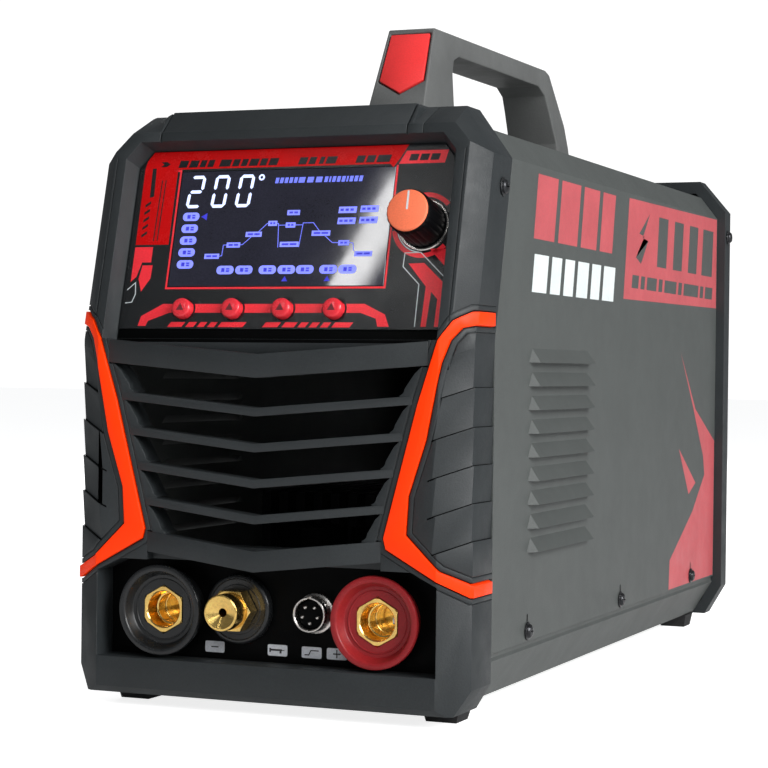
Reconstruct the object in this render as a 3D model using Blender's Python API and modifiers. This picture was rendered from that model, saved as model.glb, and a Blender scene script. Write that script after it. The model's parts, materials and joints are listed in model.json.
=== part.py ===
"""TIG welding machine: inverter welder in a folded steel case with moulded front and rear bezels.

World frame: +Z up, the control panel faces -Y, the feet stand on z = 0 and the bounding box is
centred on the Z axis. Everything is in metres.
"""
import math

import bmesh
import bpy
from mathutils import Euler, Matrix, Vector

# ---------------------------------------------------------------- driving dimensions
GAP = 0.0003                 # clearance between pieces that touch
BODY_HALF_WIDTH = 0.095
BODY_BOTTOM = 0.006
BEZEL_TOP = 0.2695
COVER_TOP = 0.2601
COVER_SHEET = 0.0010
TRAY_SHEET = 0.0012
COVER_REAR = 0.2004
SEAM_HEIGHT = 0.0295         # lower edge of the cover
FRONT_FACE = -0.2360         # vertical lower face of the front bezel
FRONT_EDGE = -0.2270         # where that face's side bevels meet the sides
BEZEL_REAR = -0.2025         # where the bezel ends and the cover begins, below the lean
LEAN_START = 0.165           # the face leans back above this height
LEAN_SLOPE = 0.25
LEAN = math.atan(LEAN_SLOPE)
BEZEL_WALL = 0.003

RECESS_DEPTH = 0.009         # control panel below the rim around it
PANEL_CENTRE_UP = 0.0475     # along the leaning face, from LEAN_START
OVERLAY_THICKNESS = 0.0010
FLOOR_THICKNESS = 0.0030     # bezel floor behind the overlay

BAY_FLOOR_Y = -0.2210        # socket panel's front face
SOCKET_PANEL_THICKNESS = 0.0020
SOCKET_HEIGHT = 0.044
SOCKET_SPREAD = 0.052        # each weld socket's distance from the middle
TORCH_X = -0.0165
CONTROL_PLUG_X = 0.0205
SIGNAL_HEIGHT = 0.0455       # torch and control connectors

KNOB_U = 0.0660              # on the control panel: u to the right, v up the face
KNOB_V = 0.0070
BUTTON_V = -0.0310
BUTTON_FIRST_U = -0.0462
BUTTON_PITCH = 0.0247
BUTTON_COUNT = 4
BUTTON_RADIUS = 0.0046
BUTTON_TOP = 0.0036          # proud of the overlay
SCREEN_LOW = (-0.0560, -0.0205)
SCREEN_HIGH = (0.0500, 0.0345)

LOUVRE_COUNT = 9
LOUVRE_PITCH = 0.0108
LOUVRE_TOP = 0.1640
LOUVRE_FRONT = -0.1560
LOUVRE_REAR = -0.0630
LOUVRE_HEIGHT = 0.0072
LOUVRE_OUT = 0.0042
LOUVRE_SLANT = 0.0085        # how far the hood's ends lean in
LOUVRE_MOUTH = 0.0010        # how far the hollow runs on below the hood
LOUVRE_SILL = 0.0016         # sheet left standing above the hood's lip, so nobody sees straight in

REAR_HALF_WIDTH = 0.100
REAR_EDGE = 0.2134
REAR_FACE = 0.2184
REAR_PANEL_Y = 0.2050
REAR_PANEL_THICKNESS = 0.0012
FAN_SIZE = 0.120
FAN_DEPTH = 0.025
FAN_HEIGHT = 0.098
SWITCH_X = 0.052
SWITCH_HEIGHT = 0.213
GLAND_X = -0.052
GLAND_HEIGHT = 0.213
GAS_HEIGHT = 0.190
CONTACT_HEX_RADIUS = 0.0108
TORCH_HEX_RADIUS = 0.0101
TORCH_HOLE_RADIUS = 0.0018
GAS_BARB_END = 0.0379        # from the rear panel
ROCKER_TILT = math.radians(10)

FOOT_X = 0.0755
FOOT_Y_FRONT = -0.2040
FOOT_Y_REAR = 0.1870
FOOT_HALF = 0.0085

SCREW_HEAD_RADIUS = 0.0042
SCREW_SHANK_RADIUS = 0.0015
SCREW_HOLE_RADIUS = 0.0020
COVER_SCREW_HEIGHT = 0.0346
COVER_SCREW_YS = (-0.1537, -0.0021, 0.1446)
BEZEL_SCREW = (-0.1945, 0.2334)     # y, z
REAR_SCREW = (0.2070, 0.2360)

OBJECT_NAME = "tig_welding_machine"

# side (+X) half outlines in the XZ plane
TOP_CORNER = ((0.0774, BEZEL_TOP), (BODY_HALF_WIDTH, 0.2469))
BOTTOM_CORNER = ((BODY_HALF_WIDTH, 0.0170), (0.0886, BODY_BOTTOM))
TRIM_OUTLINE = ((0.1050, 0.1781), (0.0935, 0.1777), (0.0870, 0.1737), (0.0815, 0.1655),
                (0.0727, 0.1380), (0.0578, 0.0808), (0.0590, 0.0762), (0.0945, 0.0565),
                (0.1050, 0.0565), (0.1050, 0.0616), (0.0955, 0.0616), (0.0830, 0.0675),
                (0.0678, 0.0825), (0.0688, 0.0992), (0.0765, 0.1232), (0.0828, 0.1560),
                (0.0860, 0.1655), (0.0903, 0.1708), (0.0960, 0.1722), (0.1050, 0.1722))
BAY_OUTLINE = ((-0.0820, 0.0224), (0.0820, 0.0224), (0.0820, 0.0610), (0.0700, 0.0668),
               (-0.0700, 0.0668), (-0.0820, 0.0610))
GRILLE_TOP_Z = 0.1545
GRILLE_BOTTOM_Z = 0.0735
GRILLE_TOP_HALF = 0.0715
GRILLE_BOTTOM_HALF = 0.0535
GRILLE_APEX_OUT = 0.0231     # middle of the blades, ahead of the socket panel's face
GRILLE_END_OUT = 0.0152      # the blades' ends
BAR_DEPTH = 0.0057
BLADE_DROP = 0.0062
BLADE_THICKNESS = 0.0037
BLADE_DEPTH = 0.012
PANEL_HALF = 0.0785
PANEL_TOP_V = 0.0447
PANEL_BOTTOM_V = -0.0470
PANEL_CORNER = (0.0065, 0.0080)
OVERLAY_BOTTOM_V = -0.0400
RECESS_DRAFT = 0.0020


# ---------------------------------------------------------------- helpers
def clear_scene():
    for ob in list(bpy.data.objects):
        bpy.data.objects.remove(ob, do_unlink=True)


def make_collection(name):
    collection = bpy.data.collections.new(name)
    bpy.context.scene.collection.children.link(collection)
    return collection


clear_scene()
PARTS = make_collection(OBJECT_NAME)
CUTTERS = make_collection("cutters")


def make_frame(name, matrix):
    empty = bpy.data.objects.new(name, None)
    PARTS.objects.link(empty)
    empty.matrix_world = matrix
    return empty


def add_object(name, mesh, frame=None, at=(0, 0, 0), turn=(0, 0, 0)):
    ob = bpy.data.objects.new(name, mesh)
    PARTS.objects.link(ob)
    ob.parent = frame
    ob.location = at
    ob.rotation_euler = Euler(turn)
    return ob


def mesh_from(name, bm):
    mesh = bpy.data.meshes.new(name)
    bm.to_mesh(mesh)
    bm.free()
    return mesh


def smooth(ob, angle=math.radians(35)):
    ob.data.shade_smooth()
    ob.data.set_sharp_from_angle(angle=angle)
    return ob


def block(name, low, high, frame=None, at=(0, 0, 0), turn=(0, 0, 0)):
    bm = bmesh.new()
    size = [h - l for l, h in zip(low, high)]
    centre = [(h + l) / 2 for l, h in zip(low, high)]
    place = Matrix.Translation(centre) @ Matrix.Diagonal((*size, 1))
    bmesh.ops.create_cube(bm, size=1, matrix=place)
    return add_object(name, mesh_from(name, bm), frame, at, turn)


def cylinder(name, radius, low, high, frame=None, at=(0, 0, 0), turn=(0, 0, 0), sides=32,
             top_radius=None):
    bm = bmesh.new()
    place = Matrix.Translation((0, 0, (low + high) / 2)) @ Matrix.Rotation(math.pi / sides, 4, "Z")
    bmesh.ops.create_cone(bm, cap_ends=True, segments=sides, radius1=radius,
                          radius2=radius if top_radius is None else top_radius,
                          depth=high - low, matrix=place)
    ob = add_object(name, mesh_from(name, bm), frame, at, turn)
    return smooth(ob)


def flat(name, points, low, high, frame=None, at=(0, 0, 0), turn=(0, 0, 0)):
    """A flat outline in the frame's xy plane, thickened from low to high along its z."""
    curve = bpy.data.curves.new(name, "CURVE")
    curve.dimensions = "2D"
    curve.fill_mode = "BOTH"
    curve.extrude = (high - low) / 2
    spline = curve.splines.new("POLY")
    spline.points.add(len(points) - 1)
    for point, (x, y) in zip(spline.points, points):
        point.co = (x, y, 0, 1)
    spline.use_cyclic_u = True
    source = bpy.data.objects.new(name + "_outline", curve)
    CUTTERS.objects.link(source)
    bpy.context.view_layer.update()
    mesh = bpy.data.meshes.new_from_object(source.evaluated_get(bpy.context.evaluated_depsgraph_get()))
    bpy.data.objects.remove(source, do_unlink=True)
    bm = bmesh.new()
    bm.from_mesh(mesh)
    bmesh.ops.remove_doubles(bm, verts=bm.verts, dist=0.00001)
    bmesh.ops.translate(bm, verts=bm.verts, vec=(0, 0, (low + high) / 2))
    bmesh.ops.recalc_face_normals(bm, faces=bm.faces)
    bm.to_mesh(mesh)
    bm.free()
    mesh.name = name
    return add_object(name, mesh, frame, at, turn)


def turned(name, profile, frame=None, at=(0, 0, 0), turn=(0, 0, 0), sides=32, closed=True):
    """A closed profile of (radius, height) points, down its outer side first, turned about z."""
    bm = bmesh.new()
    verts = [bm.verts.new((radius, 0, height)) for radius, height in profile]
    pairs = list(zip(verts, verts[1:]))
    if closed:
        pairs.append((verts[-1], verts[0]))
    for first, second in pairs:
        bm.edges.new((first, second))
    ob = add_object(name, mesh_from(name, bm), frame, at, turn)
    screw = ob.modifiers.new("turn", "SCREW")
    screw.axis = "Z"
    screw.angle = math.tau
    screw.steps = sides
    screw.render_steps = sides
    screw.use_merge_vertices = True
    screw.merge_threshold = 0.00001
    screw.use_smooth_shade = True
    return ob


def trim_by_faces(bm, faces, inset=0.0):
    """Cut a closed mesh down to the inner side of each (point, outward normal) face."""
    for point, normal in faces:
        geometry = bm.verts[:] + bm.edges[:] + bm.faces[:]
        bmesh.ops.bisect_plane(bm, geom=geometry, plane_co=Vector(point) - Vector(normal) * inset,
                               plane_no=normal, clear_outer=True)
        rim = [edge for edge in bm.edges if edge.is_boundary]
        if rim:
            bmesh.ops.holes_fill(bm, edges=rim)


def carve(name, low, high, faces, inset=0.0, extra=()):
    """A block cut by the faces moved in by inset, then by the extra faces where they are."""
    bm = bmesh.new()
    size = [h - l for l, h in zip(low, high)]
    centre = [(h + l) / 2 for l, h in zip(low, high)]
    place = Matrix.Translation(centre) @ Matrix.Diagonal((*size, 1))
    bmesh.ops.create_cube(bm, size=1, matrix=place)
    trim_by_faces(bm, faces, inset)
    trim_by_faces(bm, extra)
    bmesh.ops.recalc_face_normals(bm, faces=bm.faces)
    return add_object(name, mesh_from(name, bm))


def as_cutter(ob):
    PARTS.objects.unlink(ob)
    CUTTERS.objects.link(ob)
    ob.hide_render = True
    ob.display_type = "WIRE"


def combine(ob, others, operation):
    for other in others:
        if other.name in PARTS.objects:
            as_cutter(other)
        modifier = ob.modifiers.new(other.name, "BOOLEAN")
        modifier.operation = operation
        modifier.solver = "EXACT"
        modifier.object = other
    return ob


def cut(ob, *others):
    return combine(ob, others, "DIFFERENCE")


def join(ob, *others):
    return combine(ob, others, "UNION")


def keep(ob, *others):
    return combine(ob, others, "INTERSECT")


def merged(name, objects):
    """One cutter mesh made from several separate blocks in the same frame."""
    bm = bmesh.new()
    for ob in objects:
        mesh = ob.data.copy()
        mesh.transform(ob.matrix_basis)
        bm.from_mesh(mesh)
        bpy.data.meshes.remove(mesh)
    frame = objects[0].parent
    for ob in objects:
        bpy.data.objects.remove(ob, do_unlink=True)
    return add_object(name, mesh_from(name, bm), frame)


def paint(ob, colour, roughness=0.5, metallic=0.0):
    material = bpy.data.materials.new(ob.name)
    material.use_nodes = True
    shader = material.node_tree.nodes["Principled BSDF"]
    shader.inputs["Base Color"].default_value = (*colour, 1)
    shader.inputs["Roughness"].default_value = roughness
    shader.inputs["Metallic"].default_value = metallic
    ob.data.materials.clear()
    ob.data.materials.append(material)
    return ob


def grown(points, distance):
    """A closed counter-clockwise outline moved outwards by distance."""
    result = []
    count = len(points)
    for index in range(count):
        before = Vector(points[index - 1])
        here = Vector(points[index])
        after = Vector(points[(index + 1) % count])
        first = (here - before).normalized()
        second = (after - here).normalized()
        normal = Vector((first.y + second.y, -first.x - second.x)).normalized()
        stretch = normal.dot(Vector((first.y, -first.x)))
        result.append(tuple(here + normal * distance / stretch))
    return result


def mirrored(points):
    return [(-x, y) for x, y in reversed(points)]


def plane_through(a, b, c, outward):
    a, b, c = Vector(a), Vector(b), Vector(c)
    normal = (b - a).cross(c - a).normalized()
    if normal.dot(Vector(outward)) < 0:
        normal.negate()
    return a, normal


def rectangle(low, high):
    return [(low[0], low[1]), (high[0], low[1]), (high[0], high[1]), (low[0], high[1])]


# ---------------------------------------------------------------- frames
FACE_UP = Vector((0, math.sin(LEAN), math.cos(LEAN)))
FACE_OUT = Vector((0, -math.cos(LEAN), math.sin(LEAN)))
LEAN_CORNER = Vector((0, FRONT_FACE, LEAN_START))
PANEL_ORIGIN = LEAN_CORNER + FACE_UP * PANEL_CENTRE_UP - FACE_OUT * RECESS_DEPTH

PANEL = make_frame("control_panel_frame",
                   Matrix.Translation(PANEL_ORIGIN) @ Matrix.Rotation(math.pi / 2 - LEAN, 4, "X"))
FRONT = make_frame("socket_frame",
                   Matrix.Translation((0, BAY_FLOOR_Y, 0)) @ Matrix.Rotation(math.pi / 2, 4, "X"))
REAR = make_frame("rear_frame",
                  Matrix.Translation((0, REAR_PANEL_Y + REAR_PANEL_THICKNESS, 0))
                  @ Matrix.Rotation(math.pi, 4, "Z") @ Matrix.Rotation(math.pi / 2, 4, "X"))
SIDE = make_frame("side_frame", Matrix(((0, 0, 1, 0), (1, 0, 0, 0), (0, 1, 0, 0), (0, 0, 0, 1))))
ACROSS = make_frame("section_frame", Matrix.Rotation(math.pi / 2, 4, "X"))


# ---------------------------------------------------------------- front bezel
def face_point(x, up, out=0.0):
    return Vector((x, 0, 0)) + LEAN_CORNER + FACE_UP * up + FACE_OUT * out


def side_faces(sign):
    """The bezel's faces on one side."""
    edge = BODY_HALF_WIDTH * sign
    low_inner = (0.0815 * sign, FRONT_FACE - 0.0002, 0)
    high_inner = Vector((0.0868 * sign, FRONT_FACE, LEAN_START))
    ridge = Vector((edge, FRONT_EDGE, LEAN_START))
    top_a, top_b = TOP_CORNER
    foot_a, foot_b = BOTTOM_CORNER
    corner = face_point(0.0835 * sign, 0.093)
    return [
        ((edge, 0, 0), (sign, 0, 0)),
        plane_through((top_a[0] * sign, 0, top_a[1]), (top_b[0] * sign, 0, top_b[1]),
                      (top_b[0] * sign, 1, top_b[1]), (sign, 0, 1)),
        plane_through((foot_a[0] * sign, 0, foot_a[1]), (foot_b[0] * sign, 0, foot_b[1]),
                      (foot_b[0] * sign, 1, foot_b[1]), (sign, 0, -1)),
        plane_through((edge, FRONT_EDGE, 0), low_inner, (edge, FRONT_EDGE, 1), (sign, -1, 0)),
        plane_through(ridge, high_inner, ridge + FACE_UP, (sign, -1, 0)),
        plane_through((top_a[0] * sign, -0.1945, top_a[1]), (top_b[0] * sign, -0.2067, top_b[1]),
                      corner, (sign, -1, 1)),
    ]


def bezel_faces():
    top_front = face_point(0, 0.098)
    return side_faces(1) + side_faces(-1) + [
        ((0, 0, BEZEL_TOP), (0, 0, 1)),
        ((0, 0, BODY_BOTTOM), (0, 0, -1)),
        ((0, FRONT_FACE, 0), (0, -1, 0)),
        (LEAN_CORNER, FACE_OUT),
        plane_through((0, -0.193, BEZEL_TOP), top_front, top_front + Vector((1, 0, 0)), (0, -1, 1)),
        plane_through((0, FRONT_FACE, 0.0090), (0, FRONT_FACE + 0.003, BODY_BOTTOM),
                      (1, FRONT_FACE, 0.0090), (0, -1, -1)),
    ]


def bezel_block(name, inset, z_low=-0.02, z_high=0.30, extra=()):
    """The bezel's outer form with every face moved in by inset, between two heights."""
    return carve(name, (-0.12, -0.27, z_low), (0.12, -0.15, z_high), bezel_faces(), inset, extra)


def boundary_y(z):
    """Where the bezel meets the cover at height z."""
    return BEZEL_REAR + max(0.0, z - LEAN_START) * LEAN_SLOPE


def rear_of_bezel(name, shift):
    """Everything behind the line where the bezel meets the cover."""
    line = [(-0.10, -0.02), (-0.10, 0.30)]
    line += [(boundary_y(z) + shift, z) for z in (0.30, LEAN_START, -0.02)]
    return flat(name, line, -0.13, 0.13, SIDE)


def recess_outline(half, top, bottom, corner):
    return [(-half, bottom), (half, bottom), (half, top - corner[1]), (half - corner[0], top),
            (-half + corner[0], top), (-half, top - corner[1])]


def control_recess():
    """The drafted pocket in front of the control panel, and the holes through its floor."""
    deep = recess_outline(PANEL_HALF, PANEL_TOP_V, PANEL_BOTTOM_V, PANEL_CORNER)
    floor = -OVERLAY_THICKNESS - GAP
    reach = RECESS_DEPTH * 1.5
    spread = RECESS_DRAFT * (reach - floor) / RECESS_DEPTH
    wide = recess_outline(PANEL_HALF + spread, PANEL_TOP_V + spread * 0.65, PANEL_BOTTOM_V,
                          PANEL_CORNER)
    bm = bmesh.new()
    rings = []
    for outline, height in ((deep, floor), (wide, reach)):
        rings.append([bm.verts.new((x, y, height)) for x, y in outline])
    bm.faces.new(reversed(rings[0]))
    bm.faces.new(rings[1])
    count = len(deep)
    for index in range(count):
        after = (index + 1) % count
        bm.faces.new((rings[0][index], rings[0][after], rings[1][after], rings[1][index]))
    bmesh.ops.recalc_face_normals(bm, faces=bm.faces)
    return add_object("recess_cutter", mesh_from("recess_cutter", bm), PANEL)


def button_positions():
    return [(BUTTON_FIRST_U + BUTTON_PITCH * index, BUTTON_V) for index in range(BUTTON_COUNT)]


def panel_holes(name, low, high, screen_margin):
    margin = Vector((screen_margin, screen_margin))
    pieces = [block(name + "_screen", (*(Vector(SCREEN_LOW) - margin), low),
                    (*(Vector(SCREEN_HIGH) + margin), high), PANEL),
              cylinder(name + "_knob", 0.0050, low, high, PANEL, (KNOB_U, KNOB_V, 0), sides=16)]
    for u, v in button_positions():
        pieces.append(cylinder(name + "_button", BUTTON_RADIUS + 0.0004, low, high, PANEL, (u, v, 0),
                               sides=16))
    return merged(name, pieces)


def grille_outline(margin):
    return [(-GRILLE_BOTTOM_HALF - margin, GRILLE_BOTTOM_Z - margin),
            (GRILLE_BOTTOM_HALF + margin, GRILLE_BOTTOM_Z - margin),
            (GRILLE_TOP_HALF + margin, GRILLE_TOP_Z + margin),
            (-GRILLE_TOP_HALF - margin, GRILLE_TOP_Z + margin)]


def trim_groove(name, outline):
    """The groove for a trim strip, as deep as the strip and GAP wider all round."""
    groove = flat(name, grown(outline, GAP), -BEZEL_REAR + 0.0015, 0.27, ACROSS)
    core = bezel_block(name + "_core", 0.0015)
    return cut(groove, core)


def screw_sites():
    """Name, position and outward side of each case screw."""
    sites = []
    for sign, side in ((1, "right"), (-1, "left")):
        edge = BODY_HALF_WIDTH * sign
        sites.append(("screw_front_" + side, (edge, *BEZEL_SCREW), sign))
        for y, place in zip(COVER_SCREW_YS, ("fore", "mid", "aft")):
            sites.append((f"screw_{place}_{side}", (edge, y, COVER_SCREW_HEIGHT), sign))
        sites.append(("screw_rear_" + side, (REAR_HALF_WIDTH * sign, *REAR_SCREW), sign))
    return sites


def screw_turn(sign):
    return (0, math.pi / 2 * sign, 0)


def screw_holes(name):
    pieces = [cylinder(name, SCREW_HOLE_RADIUS, -0.012, 0.004, None, at, screw_turn(sign), sides=10)
              for _, at, sign in screw_sites()]
    return merged(name, pieces)


def front_bezel(rear_cutter, holes):
    body = bezel_block("front_bezel", 0.0)
    upper = bezel_block("upper_hollow", BEZEL_WALL, 0.1560, extra=[
        (LEAN_CORNER - FACE_OUT * (RECESS_DEPTH + OVERLAY_THICKNESS + GAP + FLOOR_THICKNESS), FACE_OUT)])
    middle = bezel_block("middle_hollow", BEZEL_WALL, 0.0740, 0.1585)
    lower = bezel_block("lower_hollow", BEZEL_WALL, -0.02, 0.0760, extra=[
        ((0, BAY_FLOOR_Y + SOCKET_PANEL_THICKNESS + 0.0010, 0), (0, -1, 0))])
    bay = flat("bay_cutter", BAY_OUTLINE, -0.010, 0.030, FRONT)
    seat = flat("socket_panel_seat", grown(BAY_OUTLINE, 0.0015), -0.012, GAP / 2, FRONT)
    grille = flat("grille_cutter", grille_outline(0.0), -0.030, 0.030, FRONT)
    bar_seats = [flat(name, rectangle((-half, low), (half, high)), GRILLE_END_OUT - BAR_DEPTH - 2 * GAP,
                      0.030, FRONT)
                 for name, half, low, high in (("top_bar_seat", 0.0770, 0.1540, 0.1654),
                                               ("bottom_bar_seat", 0.0565, 0.0640, 0.0798))]
    floor_holes = panel_holes("floor_holes", -0.012, 0.004, 0.0012)
    cut(body, rear_cutter, upper, middle, lower, control_recess(), floor_holes, bay, seat, grille,
        *bar_seats,
        trim_groove("groove_right", TRIM_OUTLINE), trim_groove("groove_left", mirrored(TRIM_OUTLINE)),
        holes)
    return paint(body, (0.030, 0.032, 0.036), 0.55)


def trim_strip(name, outline):
    strip = flat(name, outline, -BEZEL_REAR + 0.0018, 0.27, ACROSS)
    keep(strip, bezel_block(name + "_outside", -0.0008))
    cut(strip, bezel_block(name + "_inside", 0.0012))
    return paint(strip, (0.85, 0.07, 0.01), 0.35)


# ---------------------------------------------------------------- louvred grille

def chevron_half(name, x_end, z_end, height, depth, drop=BLADE_DROP):
    """The +X half of one V-shaped bar; z_end is its top edge at the end."""
    bm = bmesh.new()
    bmesh.ops.create_cube(bm, size=1, matrix=Matrix.Translation((0.5, 0, 0)))
    for vert in bm.verts:
        at_end = vert.co.x > 0.5
        in_front = vert.co.z > 0
        on_top = vert.co.y > 0
        x = x_end if at_end else -0.004
        lowered = drop * (1 - x / x_end)
        out = GRILLE_END_OUT + (GRILLE_APEX_OUT - GRILLE_END_OUT) * (1 - x / x_end)
        y = z_end - lowered - (0 if on_top else height)
        z = out - (0 if in_front else depth)
        vert.co = (x, y, z)
    bmesh.ops.recalc_face_normals(bm, faces=bm.faces)
    return add_object(name, mesh_from(name, bm), FRONT)


def grille_half_width(z):
    share = (z - GRILLE_BOTTOM_Z) / (GRILLE_TOP_Z - GRILLE_BOTTOM_Z)
    return GRILLE_BOTTOM_HALF + (GRILLE_TOP_HALF - GRILLE_BOTTOM_HALF) * share


def front_grille():
    """V-shaped blades between a top and a bottom bar, with stepped side rails."""
    top_bar = chevron_half("front_grille", 0.0765, 0.1650, 0.0103, BAR_DEPTH)
    slots = 5
    pitch = (0.1417 - 0.0794) / (slots - 1)
    rail = []
    for index in range(slots):
        blade_top = 0.1417 - pitch * index
        slot_high = blade_top + pitch - BLADE_THICKNESS - 0.0005
        inner = grille_half_width(blade_top) - 0.0030
        rail += [(inner, min(slot_high, GRILLE_TOP_Z - GAP)), (inner - 0.0012, blade_top - 0.0010)]
    rail.append((rail[-1][0], GRILLE_BOTTOM_Z + GAP))
    rail += [(grille_half_width(GRILLE_BOTTOM_Z) - GAP * 1.5, GRILLE_BOTTOM_Z + GAP),
             (grille_half_width(GRILLE_TOP_Z) - GAP * 1.5, GRILLE_TOP_Z - GAP)]
    rail_solid = flat("grille_rail", list(reversed(rail)), 0.0035, GRILLE_END_OUT - 0.0002, FRONT)
    blades = [chevron_half(f"blade_{index}", grille_half_width(0.1417 - pitch * index) - 0.0015,
                           0.1417 - pitch * index, BLADE_THICKNESS, BLADE_DEPTH)
              for index in range(slots - 1)]
    bottom_bar = chevron_half("grille_bottom_bar", 0.0560, 0.0794, 0.0090, BAR_DEPTH)
    top_web = chevron_half("grille_top_web", grille_half_width(0.152) - 0.0015, 0.1541, 0.0030,
                           BLADE_DEPTH, 0.0)
    bottom_web = chevron_half("grille_bottom_web", grille_half_width(0.0760) - 0.0015, 0.0785, 0.0040,
                              BLADE_DEPTH, 0.0)
    join(top_bar, top_web, rail_solid, *blades, bottom_web, bottom_bar)
    mirror = top_bar.modifiers.new("both_halves", "MIRROR")
    mirror.use_bisect_axis[0] = True
    mirror.use_clip = True
    mirror.merge_threshold = 0.00001
    return paint(top_bar, (0.025, 0.027, 0.030), 0.55)


# ---------------------------------------------------------------- control panel
def control_overlay():
    outline = recess_outline(PANEL_HALF - GAP, PANEL_TOP_V - GAP, OVERLAY_BOTTOM_V, PANEL_CORNER)
    plate = flat("control_overlay", outline, -OVERLAY_THICKNESS, 0.0, PANEL)
    cut(plate, panel_holes("overlay_holes", -0.003, 0.003, 0.0))
    return paint(plate, (0.010, 0.010, 0.012), 0.25)


def lcd_module():
    low, high = Vector(SCREEN_LOW), Vector(SCREEN_HIGH)
    margin = Vector((0.0008, 0.0008))
    module = block("lcd_module", (*(low - margin), -0.0098), (*(high + margin), -0.0014), PANEL)
    return paint(module, (0.012, 0.012, 0.020), 0.15)


def control_board():
    board = block("control_board", (-0.0740, -0.0400, -0.0121), (0.0750, 0.0400, -0.0105), PANEL)
    parts = [block(f"tact_switch_{index}", (u - 0.003, v - 0.003, -0.0115), (u + 0.003, v + 0.003, -0.0076),
                   PANEL) for index, (u, v) in enumerate(button_positions())]
    parts.append(block("board_connector", (-0.045, 0.005, -0.0200), (-0.015, 0.013, -0.0115), PANEL))
    parts.append(block("board_chip", (0.005, -0.010, -0.0140), (0.022, 0.007, -0.0115), PANEL))
    join(board, *parts)
    return paint(board, (0.01, 0.12, 0.05), 0.45)


def encoder():
    at = (KNOB_U, KNOB_V, 0)
    body = turned("encoder_body", [(0.0045, 0.0045), (0.0045, -0.0080), (0.0031, -0.0080), (0.0031, 0.0045)],
                  PANEL, at, sides=20)
    case = block("encoder_case", (-0.0062, -0.0062, -0.0102), (0.0062, 0.0062, -0.0046), PANEL, at)
    chamber = cylinder("encoder_chamber", 0.0050, -0.0120, -0.0060, PANEL, at, sides=20)
    bore = cylinder("encoder_bore", 0.0031, -0.0120, 0.0060, PANEL, at, sides=20)
    cut(join(body, case), chamber, bore)
    rotor = turned("encoder_rotor", [(0.0046, -0.0064), (0.0046, -0.0098), (0.0032, -0.0098),
                                     (0.0032, -0.0064)], PANEL, at, sides=20)
    shaft = cylinder("encoder_shaft", 0.00295, -0.0092, 0.0165, PANEL, at, sides=20)
    paint(body, (0.55, 0.56, 0.58), 0.35, 1.0)
    paint(rotor, (0.70, 0.66, 0.50), 0.40, 1.0)
    paint(shaft, (0.75, 0.76, 0.78), 0.30, 1.0)


def control_knob():
    at = (KNOB_U, KNOB_V, 0)
    knob = turned("control_knob", [(0.0, 0.0200), (0.0093, 0.0200), (0.0100, 0.0190), (0.0102, 0.0020),
                                   (0.0100, 0.0012), (0.0078, 0.0012), (0.0078, 0.0080),
                                   (0.0032, 0.0080), (0.0032, 0.0170), (0.0, 0.0170)],
                  PANEL, at, sides=28, closed=False)
    cap = turned("knob_cap", [(0.0, 0.0212), (0.0085, 0.0212), (0.0091, 0.0206), (0.0091, 0.0203),
                              (0.0, 0.0203)], PANEL, at, sides=28, closed=False)
    paint(knob, (0.012, 0.012, 0.013), 0.30)
    paint(cap, (0.85, 0.10, 0.03), 0.40)


def control_buttons():
    for index, (u, v) in enumerate(button_positions()):
        button = turned(f"button_{index + 1}",
                        [(0.0, BUTTON_TOP), (BUTTON_RADIUS - 0.0005, BUTTON_TOP),
                         (BUTTON_RADIUS, BUTTON_TOP - 0.0005),
                         (BUTTON_RADIUS, -0.0047), (BUTTON_RADIUS + 0.0012, -0.0047),
                         (BUTTON_RADIUS + 0.0012, -0.0057), (0.0, -0.0060)],
                        PANEL, (u, v, 0), sides=18, closed=False)
        paint(button, (0.72, 0.02, 0.03), 0.35)


# ---------------------------------------------------------------- socket bay
def socket_panel():
    panel = flat("socket_panel", grown(BAY_OUTLINE, 0.0012), -SOCKET_PANEL_THICKNESS, 0.0, FRONT)
    sites = ((-SOCKET_SPREAD, SOCKET_HEIGHT, 0.0142), (SOCKET_SPREAD, SOCKET_HEIGHT, 0.0142),
             (TORCH_X, SIGNAL_HEIGHT, 0.0093), (CONTROL_PLUG_X, SIGNAL_HEIGHT, 0.0076))
    holes = [cylinder("panel_hole", radius, -0.006, 0.004, FRONT, (x, y, 0), sides=24)
             for x, y, radius in sites]
    cut(panel, merged("socket_panel_holes", holes))
    return paint(panel, (0.012, 0.012, 0.013), 0.25)


def weld_socket(name, x, colour):
    """A shallow dish with a proud rim, and the hexagonal brass contact level with its floor."""
    at = (x, SOCKET_HEIGHT, 0)
    rim, floor, bore_bottom = 0.0120, 0.0070, -0.0120
    flange = turned(name + "_flange",
                    [(0.0196, rim), (0.0203, rim - 0.0008), (0.0203, rim - 0.0026), (0.0178, floor),
                     (0.0174, GAP), (0.0139, GAP), (0.0139, -0.0160), (0.0114, -0.0160), (0.0114, floor),
                     (0.0154, floor), (0.0173, rim)], FRONT, at, sides=30)
    paint(flange, colour, 0.35)
    brass = cylinder(name + "_contact", 0.0098, -0.0230, 0.0030, FRONT, at, sides=24)
    hexagon = cylinder(name + "_hexagon", CONTACT_HEX_RADIUS, -0.0150, floor + 0.0005, FRONT, at,
                       (0, 0, math.radians(30)), sides=6)
    bore = turned(name + "_bore", [(0.0, 0.0140), (0.0090, 0.0140), (0.0079, 0.0070), (0.0079, 0.0020),
                                   (0.0067, 0.0010), (0.0067, bore_bottom), (0.0, bore_bottom)],
                  FRONT, at, sides=28, closed=False)
    cut(join(brass, hexagon), bore)
    paint(brass, (0.80, 0.55, 0.18), 0.25, 1.0)


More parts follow.
